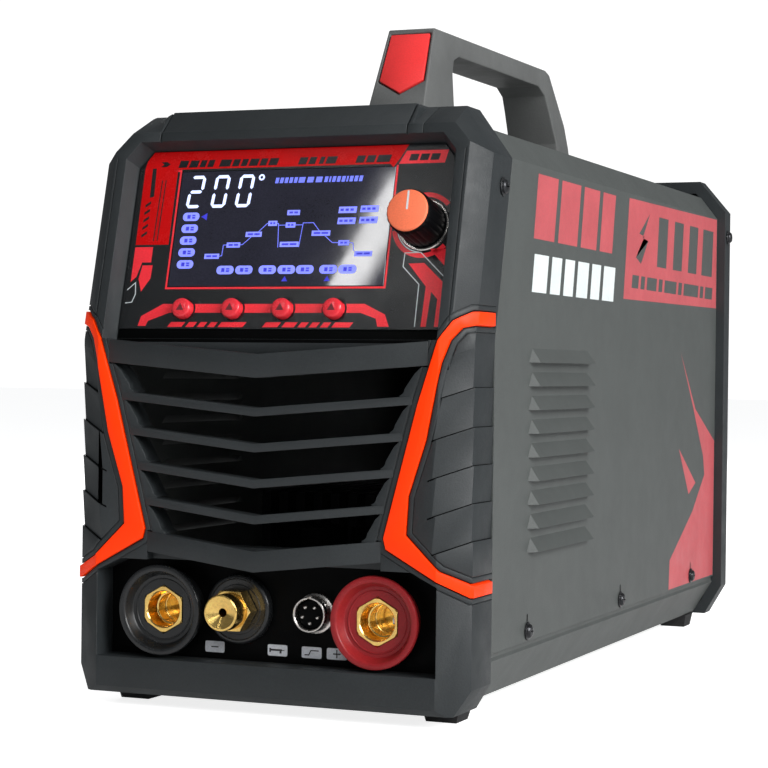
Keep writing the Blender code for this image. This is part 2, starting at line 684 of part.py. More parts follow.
def torch_connector():
    """A round flange and a brass nipple on a hexagon; its mouth is a cone down to the gas hole."""
    at = (TORCH_X, SIGNAL_HEIGHT, 0)
    tip, hexagon_top = 0.0212, 0.0125
    flange = turned("torch_connector_flange",
                    [(0.0148, 0.0046), (0.0156, 0.0038), (0.0156, GAP), (0.0090, GAP), (0.0090, -0.0160),
                     (0.0063, -0.0160), (0.0063, 0.0046)], FRONT, at, sides=28)
    paint(flange, (0.015, 0.015, 0.016), 0.35)
    fitting = turned("torch_connector_fitting",
                     [(0.0075, tip), (0.0081, tip - 0.0007), (0.0081, hexagon_top - 0.0010),
                      (0.0060, 0.0080), (0.0060, -0.0220), (TORCH_HOLE_RADIUS, -0.0220),
                      (TORCH_HOLE_RADIUS, tip - 0.0024), (0.0070, tip)],
                     FRONT, at, sides=24)
    hexagon = cylinder("torch_hexagon", TORCH_HEX_RADIUS, 0.0049, hexagon_top, FRONT, at, sides=6)
    passage = cylinder("torch_passage", TORCH_HOLE_RADIUS, -0.0300, 0.0185, FRONT, at, sides=12)
    cut(join(fitting, hexagon), passage)
    paint(fitting, (0.85, 0.58, 0.18), 0.22, 1.0)


def control_connector():
    at = (CONTROL_PLUG_X, SIGNAL_HEIGHT, 0)
    shell = turned("control_connector_shell",
                   [(0.0074, 0.0092), (0.0078, 0.0088), (0.0078, 0.0026), (0.0090, 0.0020), (0.0090, GAP),
                    (0.0073, GAP), (0.0073, -0.0130), (0.0067, -0.0130), (0.0067, 0.0092)],
                   FRONT, at, sides=24)
    paint(shell, (0.75, 0.74, 0.72), 0.22, 1.0)
    insert = cylinder("control_connector_insert", 0.0064, -0.0120, 0.0062, FRONT, at, sides=28)
    pins = []
    for index in range(5):
        angle = math.tau * index / 5 - math.pi / 2
        place = (at[0] + 0.0038 * math.cos(angle), at[1] + 0.0038 * math.sin(angle), 0)
        pins.append(cylinder(f"connector_pin_{index}", 0.0006, -0.0160, 0.0086, FRONT, place, sides=8))
    join(insert, merged("connector_pins", pins))
    paint(insert, (0.02, 0.02, 0.02), 0.45)


# ---------------------------------------------------------------- case
def case_outline():
    run = (TOP_CORNER[1][0] - TOP_CORNER[0][0]) / (TOP_CORNER[0][1] - TOP_CORNER[1][1])
    shoulder = TOP_CORNER[1][1]
    top_half = BODY_HALF_WIDTH - (COVER_TOP - shoulder) * run
    half = [(BODY_HALF_WIDTH, SEAM_HEIGHT + GAP / 2), (BODY_HALF_WIDTH, shoulder), (top_half, COVER_TOP)]
    return half


def sheet_outline(half, thickness):
    """A folded sheet's section: half lists the outer line from its +X free edge to the middle."""
    outer = list(half) + [(-x, y) for x, y in reversed(half)]
    inner = []
    count = len(outer)
    for index in range(count):
        here = Vector(outer[index])
        before = Vector(outer[index - 1]) if index else None
        after = Vector(outer[index + 1]) if index < count - 1 else None
        lines = [(second - first).normalized() for first, second in ((before, here), (here, after))
                 if first is not None and second is not None]
        normals = [Vector((-line.y, line.x)) for line in lines]
        normal = sum(normals, Vector((0, 0))).normalized()
        inner.append(tuple(here + normal * thickness / normal.dot(normals[0])))
    return outer + list(reversed(inner))


def louvre(name, sign, index, inside):
    """One pressed louvre, open at its lower edge; inside is its hollow."""
    margin = COVER_SHEET if inside else 0.0
    top = LOUVRE_TOP - LOUVRE_PITCH * index - margin * 1.3
    bottom = LOUVRE_TOP - LOUVRE_PITCH * index - LOUVRE_HEIGHT
    mouth = bottom - (LOUVRE_MOUTH if inside else 0.0)
    sill = bottom + (LOUVRE_SILL if inside else 0.0)
    out = BODY_HALF_WIDTH + LOUVRE_OUT - margin
    deep = BODY_HALF_WIDTH - COVER_SHEET * (2.0 if inside else 0.5)
    front, rear = LOUVRE_FRONT + margin, LOUVRE_REAR - margin
    bm = bmesh.new()
    wedge = [(deep, front + LOUVRE_SLANT * 0.6, top), (deep, rear - LOUVRE_SLANT * 0.4, top),
             (deep, rear, sill), (deep, front, sill),
             (out, rear - LOUVRE_SLANT * 0.15, mouth), (out, front + LOUVRE_SLANT * 0.6, mouth)]
    verts = [bm.verts.new((x * sign, y, z)) for x, y, z in wedge]
    bmesh.ops.convex_hull(bm, input=verts)
    bmesh.ops.recalc_face_normals(bm, faces=bm.faces)
    return add_object(name, mesh_from(name, bm))


def cover(rear_cutter_front, holes):
    shell = flat("cover", sheet_outline(case_outline(), COVER_SHEET), -COVER_REAR, 0.2200, ACROSS)
    hoods = [louvre("hood", sign, index, False) for sign in (1, -1) for index in range(LOUVRE_COUNT)]
    hollows = [louvre("hollow", sign, index, True) for sign in (1, -1) for index in range(LOUVRE_COUNT)]
    cut(shell, rear_cutter_front)
    join(shell, merged("louvre_hoods", hoods))
    cut(shell, merged("louvre_hollows", hollows), holes)
    return paint(shell, (0.075, 0.080, 0.080), 0.60, 0.3)


def base_tray(holes):
    lip = BODY_HALF_WIDTH - COVER_SHEET - GAP
    half = [(lip, 0.0450), (lip, 0.0275), (0.0945, 0.0262), (0.0830, 0.0075)]
    section = sheet_outline(half, -TRAY_SHEET)
    tray = flat("base_tray", section, -COVER_REAR, -(BEZEL_REAR + GAP), ACROSS)
    posts = [cylinder("post", 0.0040, 0.0080, 0.0240, None, (x, y, 0), sides=12)
             for x in (-0.060, 0.060) for y in (-0.120, 0.120)]
    join(tray, merged("board_posts", posts))
    cut(tray, holes)
    return paint(tray, (0.070, 0.072, 0.074), 0.60, 0.3)


def rear_outline(inset):
    half = REAR_HALF_WIDTH - inset
    top, bottom = 0.2700 - inset, 0.0065 + inset
    share = inset * 0.35
    return [(-half, 0.0238 + share), (-0.0900 + share, bottom), (0.0900 - share, bottom),
            (half, 0.0238 + share), (half, 0.2510 - share), (0.0840 - share, top),
            (-0.0840 + share, top), (-half, 0.2510 - share)]


def rear_bezel(holes):
    low = COVER_REAR + GAP
    body = flat("rear_bezel", rear_outline(0.0), -REAR_EDGE, -low, ACROSS)
    bm = bmesh.new()
    rings = []
    for inset, y in ((0.0, REAR_EDGE - 0.0005), (0.0, REAR_EDGE), (0.0050, REAR_FACE)):
        rings.append([bm.verts.new((x, -y, z)) for x, z in rear_outline(inset)])
    for ring, after in zip(rings, rings[1:]):
        count = len(ring)
        for index in range(count):
            following = (index + 1) % count
            bm.faces.new((ring[index], ring[following], after[following], after[index]))
    bm.faces.new(rings[0])
    bm.faces.new(rings[-1])
    for vert in bm.verts:
        vert.co.y = -vert.co.y
    bmesh.ops.recalc_face_normals(bm, faces=bm.faces)
    crown = add_object("rear_crown", mesh_from("rear_crown", bm))
    opening = flat("rear_opening", rear_outline(0.0145), -0.24, -0.19, ACROSS)
    seat_end = REAR_PANEL_Y + REAR_PANEL_THICKNESS + GAP
    seat = flat("rear_seat", rear_outline(0.0072), -seat_end, -0.19, ACROSS)
    cut(join(body, crown), opening, seat, holes)
    return paint(body, (0.030, 0.032, 0.034), 0.55)


# ---------------------------------------------------------------- rear fittings
def rear_panel():
    panel = flat("rear_panel", rear_outline(0.0078), -REAR_PANEL_THICKNESS, 0.0, REAR)
    holes = [cylinder("rear_hole", 0.0575, -0.006, 0.006, REAR, (0, FAN_HEIGHT, 0), sides=40),
             cylinder("rear_hole", 0.0105, -0.006, 0.006, REAR, (-GLAND_X, GLAND_HEIGHT, 0), sides=20),
             cylinder("rear_hole", 0.0053, -0.006, 0.006, REAR, (0, GAS_HEIGHT, 0), sides=16),
             block("rear_hole", (-0.0110, -0.0140, -0.006), (0.0110, 0.0140, 0.006), REAR,
                   (-SWITCH_X, SWITCH_HEIGHT, 0))]
    cut(panel, merged("rear_panel_holes", holes))
    return paint(panel, (0.080, 0.082, 0.084), 0.55, 0.3)


def cooling_fan():
    at = (0, FAN_HEIGHT, 0)
    back = -REAR_PANEL_THICKNESS - GAP
    half = FAN_SIZE / 2
    frame = flat("fan_frame", rectangle((-half, -half), (half, half)), back - FAN_DEPTH, back, REAR, at)
    tunnel = cylinder("fan_tunnel", 0.0570, back - FAN_DEPTH - 0.005, back + 0.005, REAR, at, sides=48)
    cut(frame, tunnel)
    inner = back - FAN_DEPTH
    hub = cylinder("fan_mount", 0.0185, inner, inner + 0.0028, REAR, at, sides=32)
    arms = [block(f"fan_arm_{index}", (0.012, -0.0025, inner), (0.0585, 0.0025, inner + 0.0028),
                  REAR, at, (0, 0, math.tau * index / 4 + math.pi / 4)) for index in range(4)]
    join(frame, hub, *arms)
    paint(frame, (0.015, 0.015, 0.016), 0.45)

    rotor = cylinder("fan_rotor", 0.0190, back - 0.0215, back - 0.0025, REAR, at, sides=32)
    blades = []
    for index in range(7):
        bm = bmesh.new()
        bmesh.ops.create_cube(bm, size=1, matrix=Matrix.Diagonal((0.0375, 0.0225, 0.0018, 1)))
        pitch = Matrix.Rotation(math.radians(36), 4, "X")
        bmesh.ops.transform(bm, matrix=Matrix.Translation((0.0355, 0, back - 0.0120)) @ pitch, verts=bm.verts)
        name = f"fan_blade_{index}"
        blades.append(add_object(name, mesh_from(name, bm), REAR, at, (0, 0, math.tau * index / 7)))
    join(rotor, *blades)
    paint(rotor, (0.02, 0.02, 0.022), 0.40)

    wire = 0.0012
    guard = turned("fan_guard", guard_ring(0.0560, wire), REAR, at, sides=28)
    rings = [turned(f"guard_ring_{index}", guard_ring(radius, wire), REAR, at, sides=sides)
             for index, (radius, sides) in enumerate(((0.0440, 24), (0.0320, 20), (0.0200, 16)))]
    spokes = [block(f"guard_spoke_{index}", (-0.0720, -wire, 0.0022), (0.0720, wire, 0.0022 + wire * 1.6),
                    REAR, at, (0, 0, math.pi * index / 2 + math.pi / 4)) for index in range(2)]
    join(guard, *rings, *spokes)
    paint(guard, (0.70, 0.70, 0.71), 0.30, 1.0)


def guard_ring(radius, wire):
    low, high = 0.0008, 0.0008 + wire * 2
    return [(radius + wire, high), (radius + wire, low), (radius - wire, low), (radius - wire, high)]


def power_switch():
    at = (-SWITCH_X, SWITCH_HEIGHT, 0)
    frame = block("power_switch_frame", (-0.0130, -0.0165, GAP), (0.0130, 0.0165, 0.0028), REAR, at)
    body = block("switch_body", (-0.0104, -0.0134, -0.0200), (0.0104, 0.0134, 0.0010), REAR, at)
    well = block("switch_well", (-0.0088, -0.0118, -0.0120), (0.0088, 0.0118, 0.0100), REAR, at)
    cut(join(frame, body), well)
    paint(frame, (0.015, 0.015, 0.015), 0.40)

    wing = 0.0110
    crest = 0.0048
    profile = [(-wing, 0.0008), (-wing * 0.97, 0.0028), (0.0, crest - 0.0022), (wing * 0.97, 0.0028),
               (wing, 0.0008), (0.0030, -0.0055), (-0.0030, -0.0055)]
    rocker = flat("power_rocker", profile, -0.0083, 0.0083)
    turn_flat = Matrix(((0, 0, 1, 0), (1, 0, 0, 0), (0, 1, 0, 0), (0, 0, 0, 1)))
    rocker.data.transform(turn_flat)
    rocker.parent = REAR
    rocker.location = at
    rocker.rotation_euler = Euler((ROCKER_TILT, 0, 0))
    paint(rocker, (0.55, 0.02, 0.02), 0.35)


def cord_gland():
    gland = turned("cord_gland", [(0.0105, 0.0220), (0.0125, 0.0200), (0.0125, 0.0090), (0.0140, 0.0080),
                                  (0.0140, GAP), (0.0102, GAP), (0.0102, -0.0110), (0.0060, -0.0110),
                                  (0.0060, 0.0220)], REAR, (-GLAND_X, GLAND_HEIGHT, 0), sides=18)
    paint(gland, (0.02, 0.02, 0.02), 0.50)


def gas_inlet():
    barb = [(0.0030, GAS_BARB_END), (0.0046, 0.0325), (0.0038, 0.0325), (0.0046, 0.0270),
            (0.0038, 0.0270), (0.0038, 0.0150), (0.0062, 0.0135), (0.0062, 0.0075),
            (0.0082, 0.0075), (0.0082, GAP), (0.0050, GAP), (0.0050, -0.0150), (0.0020, -0.0150),
            (0.0020, GAS_BARB_END)]
    inlet = turned("gas_inlet", barb, REAR, (0, GAS_HEIGHT, 0), sides=16)
    paint(inlet, (0.80, 0.58, 0.25), 0.30, 1.0)


# ---------------------------------------------------------------- handle and feet
HANDLE_OUTER = ((-0.0960, 0.2604), (-0.0850, 0.2880), (-0.0665, 0.3265), (0.1140, 0.3292),
                (0.1210, 0.3275), (0.1460, 0.3000), (0.1520, 0.2870), (0.1580, 0.2604))
HANDLE_INNER = ((-0.0430, 0.2500), (-0.0430, 0.3065), (-0.0400, 0.3135), (-0.0320, 0.3163),
                (0.1000, 0.3182), (0.1110, 0.3140), (0.1170, 0.3060), (0.1290, 0.2878), (0.1370, 0.2500))
INSERT_OUTLINE = ((0.0, -0.0178), (0.0118, -0.0105), (0.0105, 0.0172), (-0.0105, 0.0172),
                  (-0.0118, -0.0105))


def handle_front_frame():
    low, high = Vector((0, -0.0850, 0.2880)), Vector((0, -0.0665, 0.3265))
    up = (high - low).normalized()
    angle = math.atan2(up.z, up.y)
    middle = low + (high - low) * 0.52
    return make_frame("handle_front_frame", Matrix.Translation(middle) @ Matrix.Rotation(angle, 4, "X"))


def handle():
    bar = flat("handle", list(reversed(HANDLE_OUTER)), -0.0165, 0.0165, SIDE)
    window = flat("handle_window", list(reversed(HANDLE_INNER)), -0.03, 0.03, SIDE)
    cut(bar, window)
    for sign in (1, -1):
        faces = [plane_through((0.0165 * sign, 0, 0.2620), (0.0126 * sign, 0, 0.3265),
                               (0.0126 * sign, 1, 0.3265), (sign, 0, 0))]
        wedge = carve(f"handle_flank_{sign}", (-0.03, -0.2, 0.24), (0.03, 0.2, 0.35), faces)
        keep(bar, wedge)
    front = handle_front_frame()
    pocket = flat("insert_pocket", grown(INSERT_OUTLINE, GAP), -0.0023, 0.0060, front)
    cut(bar, pocket)
    insert = flat("handle_insert", INSERT_OUTLINE, -0.0020, 0.0004, front)
    paint(bar, (0.060, 0.062, 0.064), 0.60)
    paint(insert, (0.80, 0.05, 0.05), 0.40)


def feet():
    rows = ((FOOT_Y_FRONT, "front", BODY_BOTTOM - GAP), (FOOT_Y_REAR, "rear", 0.0075 - GAP))
    for x_sign, side in ((1, "right"), (-1, "left")):
        for y, end, top in rows:
            name = f"foot_{end}_{side}"
            foot = cylinder(name, FOOT_HALF * 1.18, 0.0, top, None, (FOOT_X * x_sign, y, 0), sides=4,
                            top_radius=FOOT_HALF * math.sqrt(2))
            for polygon in foot.data.polygons:
                polygon.use_smooth = False
            paint(foot, (0.012, 0.012, 0.013), 0.75)


def case_screws():
    for name, at, sign in screw_sites():
        head = turned(name, [(0.0, 0.0026), (0.0026, 0.0022), (SCREW_HEAD_RADIUS, GAP),
                             (SCREW_SHANK_RADIUS, GAP), (SCREW_SHANK_RADIUS, -0.0065), (0.0, -0.0065)],
                      None, at, screw_turn(sign), sides=10, closed=False)
        paint(head, (0.03, 0.03, 0.032), 0.35, 0.8)


# ---------------------------------------------------------------- inside the case
def main_board():
    board = block("main_board", (-0.0780, -0.1550, 0.0243), (0.0780, 0.1500, 0.0259))
    return paint(board, (0.01, 0.15, 0.06), 0.45)


def finned_block(name, low, high, fins):
    body = block(name, low, (high[0], high[1], low[2] + 0.008))
    width = (high[0] - low[0]) / (fins * 2 - 1)
    blades = [block("fin", (low[0] + width * 2 * index, low[1], low[2] + 0.004),
                    (low[0] + width * (2 * index + 1), high[1], high[2])) for index in range(fins)]
    join(body, merged(name + "_fins", blades))
    return paint(body, (0.75, 0.76, 0.78), 0.35, 1.0)


def toroid(name, radius, thickness, at, colour):
    bpy.ops.mesh.primitive_torus_add(major_radius=radius, minor_radius=thickness, major_segments=20,
                                     minor_segments=8, location=at)
    ob = bpy.context.object
    ob.name = name
    ob.data.name = name
    for collection in list(ob.users_collection):
        collection.objects.unlink(ob)
    PARTS.objects.link(ob)
    smooth(ob)
    return paint(ob, colour, 0.45, 0.6)


def internals():
    floor = 0.0262
    finned_block("heatsink", (-0.0700, -0.0900, floor), (0.0500, 0.0150, 0.0900), 13)
    copper = (0.60, 0.28, 0.08)
    toroid("main_transformer", 0.0300, 0.0150, (0.0400, 0.0750, floor + 0.0170), copper)
    toroid("output_choke", 0.0240, 0.0120, (-0.0460, 0.1080, floor + 0.0140), copper)
    for index, x in enumerate((-0.026, 0.014)):
        can = cylinder(f"capacitor_{index + 1}", 0.0175, floor, floor + 0.0500, None, (x, -0.1250, 0),
                       sides=24)
        paint(can, (0.02, 0.03, 0.05), 0.35)
    coil = cylinder("hf_coil", 0.0150, floor, floor + 0.0340, None, (-0.0620, -0.1200, 0), sides=24)
    paint(coil, (0.65, 0.38, 0.12), 0.40, 0.5)
    valve = block("gas_valve", (-0.0130, 0.1450, 0.1800), (0.0130, 0.1880, 0.2050))
    stem = cylinder("valve_stem", 0.0090, -0.010, 0.0260, None, (0, 0.1665, 0.2050), sides=20)
    join(valve, stem)
    paint(valve, (0.55, 0.50, 0.40), 0.40, 0.7)


def build():
    front_cut = rear_of_bezel("behind_bezel", 0.0)
    holes = screw_holes("screw_hole_cutter")
    front_bezel(front_cut, holes)
    seam = [(boundary_y(z) + GAP, z) for z in (-0.02, LEAN_START, 0.30)]
    ahead = flat("ahead_of_cover", [(-0.30, -0.02), *seam, (-0.30, 0.30)], -0.13, 0.13, SIDE)
    cover(ahead, holes)
    trim_strip("trim_right", TRIM_OUTLINE)
    trim_strip("trim_left", mirrored(TRIM_OUTLINE))
    front_grille()
    control_overlay()
    lcd_module()
    control_board()
    encoder()
    control_knob()
    control_buttons()
    socket_panel()
    weld_socket("negative_socket", -SOCKET_SPREAD, (0.015, 0.015, 0.016))
    weld_socket("positive_socket", SOCKET_SPREAD, (0.35, 0.03, 0.04))
    torch_connector()
    control_connector()
    base_tray(holes)
    rear_bezel(holes)
    rear_panel()
    cooling_fan()
    power_switch()
    cord_gland()
    gas_inlet()
    handle()
    feet()
    case_screws()
    main_board()
    internals()


build()
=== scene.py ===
"""Looks of the TIG welding machine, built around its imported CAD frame.

Metres, +Z up, the control panel faces -Y.
"""

import json
import math

import bmesh
import bpy
from mathutils import Matrix, Vector

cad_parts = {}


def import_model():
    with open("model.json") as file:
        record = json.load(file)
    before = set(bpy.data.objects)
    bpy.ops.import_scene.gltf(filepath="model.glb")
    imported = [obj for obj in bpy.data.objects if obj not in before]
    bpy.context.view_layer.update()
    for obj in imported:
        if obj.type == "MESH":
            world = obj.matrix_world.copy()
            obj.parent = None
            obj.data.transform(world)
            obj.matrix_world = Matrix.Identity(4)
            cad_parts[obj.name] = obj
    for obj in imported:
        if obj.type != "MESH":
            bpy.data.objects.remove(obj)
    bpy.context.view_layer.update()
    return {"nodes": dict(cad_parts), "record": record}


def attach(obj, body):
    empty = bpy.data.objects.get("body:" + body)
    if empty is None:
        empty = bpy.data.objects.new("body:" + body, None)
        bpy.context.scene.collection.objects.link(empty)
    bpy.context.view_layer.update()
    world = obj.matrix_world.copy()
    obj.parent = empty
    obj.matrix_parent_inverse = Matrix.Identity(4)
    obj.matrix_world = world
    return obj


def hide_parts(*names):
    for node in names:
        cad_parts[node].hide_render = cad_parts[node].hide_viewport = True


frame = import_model()
NODES = frame["nodes"]
MACHINE = "machine"

# ---------------------------------------------------------------- places, as in the CAD
LEAN = math.atan(0.25)
LEAN_CORNER = Vector((0, -0.2360, 0.165))
FACE_UP = Vector((0, math.sin(LEAN), math.cos(LEAN)))
FACE_OUT = Vector((0, -math.cos(LEAN), math.sin(LEAN)))
RECESS_DEPTH = 0.009
PANEL = (Matrix.Translation(LEAN_CORNER + FACE_UP * 0.0475 - FACE_OUT * RECESS_DEPTH)
         @ Matrix.Rotation(math.pi / 2 - LEAN, 4, "X"))
BAY_FLOOR_Y = -0.2210
FRONT = Matrix.Translation((0, BAY_FLOOR_Y, 0)) @ Matrix.Rotation(math.pi / 2, 4, "X")
ACROSS = Matrix.Rotation(math.pi / 2, 4, "X")
SIDE = Matrix(((0, 0, 1, 0), (1, 0, 0, 0), (0, 1, 0, 0), (0, 0, 0, 1)))
LEFT_SIDE = Matrix(((0, 0, -1, 0), (1, 0, 0, 0), (0, 1, 0, 0), (0, 0, 0, 1)))
HALF_WIDTH = 0.095
BEZEL_TOP = 0.2695
KNOB = (0.0660, 0.0070)
BUTTONS = [(-0.0462 + 0.0247 * k, -0.0310) for k in range(4)]
SCREEN_LOW = (-0.0560, -0.0205)
SCREEN_HIGH = (0.0500, 0.0345)
SOCKETS = {"negative": -0.052, "positive": 0.052}
SOCKET_HEIGHT = 0.044
TORCH = (-0.0165, 0.0455)
PLUG = (0.0205, 0.0455)


# ---------------------------------------------------------------- materials
def material(name, colour, roughness=0.5, metallic=0.0, specular=0.5, mottle=0.10,
             mottle_scale=35.0, grain=0.0, grain_scale=1600.0, spread=0.08, soften=0.0004,
             wear=0.0, wear_colour=(0.30, 0.30, 0.31), coat=0.0, glow=0.0):
    """Painted, moulded or metal surface: cloudy colour, fine grain in bump and roughness, worn edges."""
    mat = bpy.data.materials.new(name)
    mat.use_nodes = True
    tree = mat.node_tree
    nodes, link = tree.nodes, tree.links.new
    shader = nodes["Principled BSDF"]
    coords = nodes.new("ShaderNodeTexCoord").outputs["Object"]

    def noise(scale, detail):
        node = nodes.new("ShaderNodeTexNoise")
        node.inputs["Scale"].default_value = scale
        node.inputs["Detail"].default_value = detail
        link(coords, node.inputs["Vector"])
        return node.outputs["Fac"]

    def remap(value, low, high, to_low, to_high):
        node = nodes.new("ShaderNodeMapRange")
        link(value, node.inputs["Value"])
        for key, number in (("From Min", low), ("From Max", high), ("To Min", to_low),
                            ("To Max", to_high)):
            node.inputs[key].default_value = number
        return node.outputs["Result"]

    def combined(operation, first, second):
        node = nodes.new("ShaderNodeMath")
        node.operation = operation
        link(first, node.inputs[0])
        link(second, node.inputs[1])
        return node.outputs[0]

    def mix(factor, first, second, blend="MIX"):
        node = nodes.new("ShaderNodeMix")
        node.data_type = "RGBA"
        node.blend_type = blend
        for key, value in (("Factor", factor), (6, first), (7, second)):
            socket = node.inputs[key]
            if isinstance(value, tuple):
                socket.default_value = (*value, 1)
            elif isinstance(value, float):
                socket.default_value = value
            else:
                link(value, socket)
        return node.outputs[2]

    cloud = remap(noise(mottle_scale, 4), 0.3, 0.7, 0, 1)
    fine = noise(grain_scale, 3)
    tint = mix(cloud, tuple(c * (1 - mottle) for c in colour), tuple(c * (1 + mottle) for c in colour))
    speck = mix(remap(fine, 0.35, 0.65, 0, 1), tuple(1 - mottle for _ in colour),
                tuple(1 + mottle for _ in colour))
    tint = mix(1.0, tint, speck, "MULTIPLY")
    normal = None
    if soften:
        rounding = nodes.new("ShaderNodeBevel")
        rounding.samples = 4
        rounding.inputs["Radius"].default_value = soften
        normal = rounding.outputs["Normal"]
    if wear:
        flat = nodes.new("ShaderNodeNewGeometry").outputs["Normal"]
        dot = nodes.new("ShaderNodeVectorMath")
        dot.operation = "DOT_PRODUCT"
        link(flat, dot.inputs[0])
        link(normal, dot.inputs[1])
        edge = remap(dot.outputs["Value"], 0.985, 0.80, 0, wear)
        patch = remap(noise(260, 3), 0.42, 0.62, 0, 1)
        tint = mix(combined("MULTIPLY", edge, patch), tint, wear_colour)
    link(tint, shader.inputs["Base Color"])
    smudge = remap(noise(mottle_scale * 2.3, 5), 0.3, 0.7, roughness - spread, roughness + spread)
    gloss = combined("ADD", smudge, remap(fine, 0.3, 0.7, -spread * 0.5, spread * 0.5))
    link(gloss, shader.inputs["Roughness"])
    if grain:
        bump = nodes.new("ShaderNodeBump")
        bump.inputs["Strength"].default_value = 1.0
        bump.inputs["Distance"].default_value = grain
        link(fine, bump.inputs["Height"])
        if normal is not None:
            link(normal, bump.inputs["Normal"])
        normal = bump.outputs["Normal"]
    if normal is not None:
        link(normal, shader.inputs["Normal"])
    shader.inputs["Metallic"].default_value = metallic
    shader.inputs["Specular IOR Level"].default_value = specular
    shader.inputs["Coat Weight"].default_value = coat
    shader.inputs["Coat Roughness"].default_value = 0.08
    if glow:
        link(tint, shader.inputs["Emission Color"])
        shader.inputs["Emission Strength"].default_value = glow
    return mat


CHARCOAL = material("charcoal_plastic", (0.023, 0.027, 0.029), 0.50, grain=0.00006, grain_scale=1400,
                    wear=0.25, wear_colour=(0.12, 0.125, 0.13), specular=0.36)
BLACK = material("black_plastic", (0.0015, 0.0017, 0.0018), 0.45, grain=0.00002, specular=0.05)
GLOSS_BLACK = material("gloss_black_print", (0.008, 0.009, 0.010), 0.24, grain=0.00001, soften=0,
                       specular=0.6, spread=0.03)
# The orange trim plastic glows (glow=0.22): painted light, since the plastic is no lamp.
ORANGE = material("orange_plastic", (1.0, 0.042, 0.001), 0.42, grain=0.00002, mottle=0.05, wear=0.2,
                  wear_colour=(1.0, 0.25, 0.12), specular=0.15, soften=0.0006, glow=0.22)
POWDER = material("powder_coat", (0.070, 0.077, 0.074), 0.55, grain=0.00010, grain_scale=1100,
                  mottle=0.05, spread=0.03, wear=0.3, wear_colour=(0.20, 0.20, 0.20))
PRINT_RED = material("print_red", (0.56, 0.0015, 0.002), 0.26, grain=0.00001, specular=0.22, soften=0,
                     mottle=0.06, spread=0.04)
PRINT_PINK = material("print_coral", (0.90, 0.030, 0.045), 0.24, grain=0.00001, soften=0, mottle=0.06,
                      spread=0.04)
PRINT_DARK = material("print_black", (0.006, 0.006, 0.008), 0.24, grain=0.00001, soften=0, spread=0.04)
PRINT_WHITE = material("print_white", (0.62, 0.66, 0.68), 0.22, grain=0.00001, soften=0, mottle=0.05,
                       spread=0.04)
GLASS = material("lcd_glass", (0.020, 0.020, 0.034), 0.045, soften=0, mottle=0.2, spread=0.015,
                 specular=0.6)
LCD_WHITE = material("lcd_light", (0.60, 0.68, 1.0), 0.3, soften=0, glow=0.85, mottle=0.04)
LCD_BLUE = material("lcd_blue", (0.13, 0.16, 0.76), 0.3, soften=0, glow=0.75, mottle=0.06)
LCD_DEEP = material("lcd_deep_blue", (0.03, 0.03, 0.42), 0.3, soften=0, glow=0.8, mottle=0.06)
LCD_BLUE_PALE = material("lcd_field", (0.19, 0.22, 0.84), 0.3, soften=0, glow=0.8, mottle=0.06)
SIDE_RED = material("side_print_red", (0.50, 0.090, 0.102), 0.5, grain=0.00008, grain_scale=1100,
                    soften=0, mottle=0.07)
SIDE_WHITE = material("side_print_white", (0.72, 0.78, 0.78), 0.5, grain=0.00008, grain_scale=1100,
                      soften=0, mottle=0.05)
LABEL = material("label_grey", (0.62, 0.65, 0.70), 0.4, soften=0, mottle=0.08)
KNOB_BLACK = material("knob_black", (0.002, 0.002, 0.0025), 0.42, specular=0.12, grain=0.00001,
                      soften=0.0003)
KNOB_ORANGE = material("knob_orange", (0.95, 0.200, 0.090), 0.42, grain=0.00002, mottle=0.05,
                       soften=0.0003)
KEY_RED = material("button_red", (0.78, 0.03, 0.045), 0.24, grain=0.00001, mottle=0.06, coat=0.3, soften=0)
BUTTON_MARK = material("button_mark", (0.14, 0.02, 0.025), 0.4, grain=0.00001, soften=0)
SOCKET_BLACK = material("socket_black", (0.010, 0.011, 0.012), 0.30, grain=0.00002, soften=0.0003)
SOCKET_RED = material("socket_red", (0.27, 0.014, 0.017), 0.36, grain=0.00003, mottle=0.12,
                      specular=0.28, soften=0.0003)
BRASS = material("brass", (0.93, 0.62, 0.19), 0.22, metallic=1.0, mottle=0.10, grain=0.00001,
                 grain_scale=900, soften=0.0002, wear=0.4, wear_colour=(1.0, 0.82, 0.45))
NICKEL = material("nickel", (0.66, 0.63, 0.60), 0.24, metallic=1.0, mottle=0.08, soften=0.0002)
STEEL = material("steel", (0.55, 0.56, 0.58), 0.30, metallic=1.0, mottle=0.08, soften=0.0002)
HANDLE_GREY = material("handle_grey", (0.120, 0.124, 0.122), 0.56, grain=0.00009, grain_scale=1300,
                       mottle=0.08, wear=0.2, wear_colour=(0.22, 0.22, 0.22), soften=0.0008)
INSERT_RED = material("insert_red", (0.92, 0.045, 0.045), 0.42, grain=0.00003, mottle=0.05,
                      soften=0.0004)
RUBBER = material("rubber", (0.010, 0.010, 0.011), 0.75, grain=0.00008, grain_scale=900, soften=0.0006)
BLACK_STEEL = material("black_steel", (0.030, 0.031, 0.034), 0.30, metallic=0.7, mottle=0.15,
                       soften=0.0002, wear=0.6, wear_colour=(0.45, 0.45, 0.46))
BOARD = material("circuit_board", (0.003, 0.040, 0.015), 0.42, mottle=0.25, mottle_scale=220)
ALUMINIUM = material("anodised_aluminium", (0.012, 0.012, 0.014), 0.42, metallic=0.4, mottle=0.15,
                     specular=0.2)
COPPER = material("copper_winding", (0.62, 0.26, 0.08), 0.38, metallic=0.8, mottle=0.2,
                  mottle_scale=400, grain=0.0002, grain_scale=600)
ROCKER_RED = material("rocker_red", (0.55, 0.012, 0.014), 0.30, mottle=0.08, soften=0.0004)

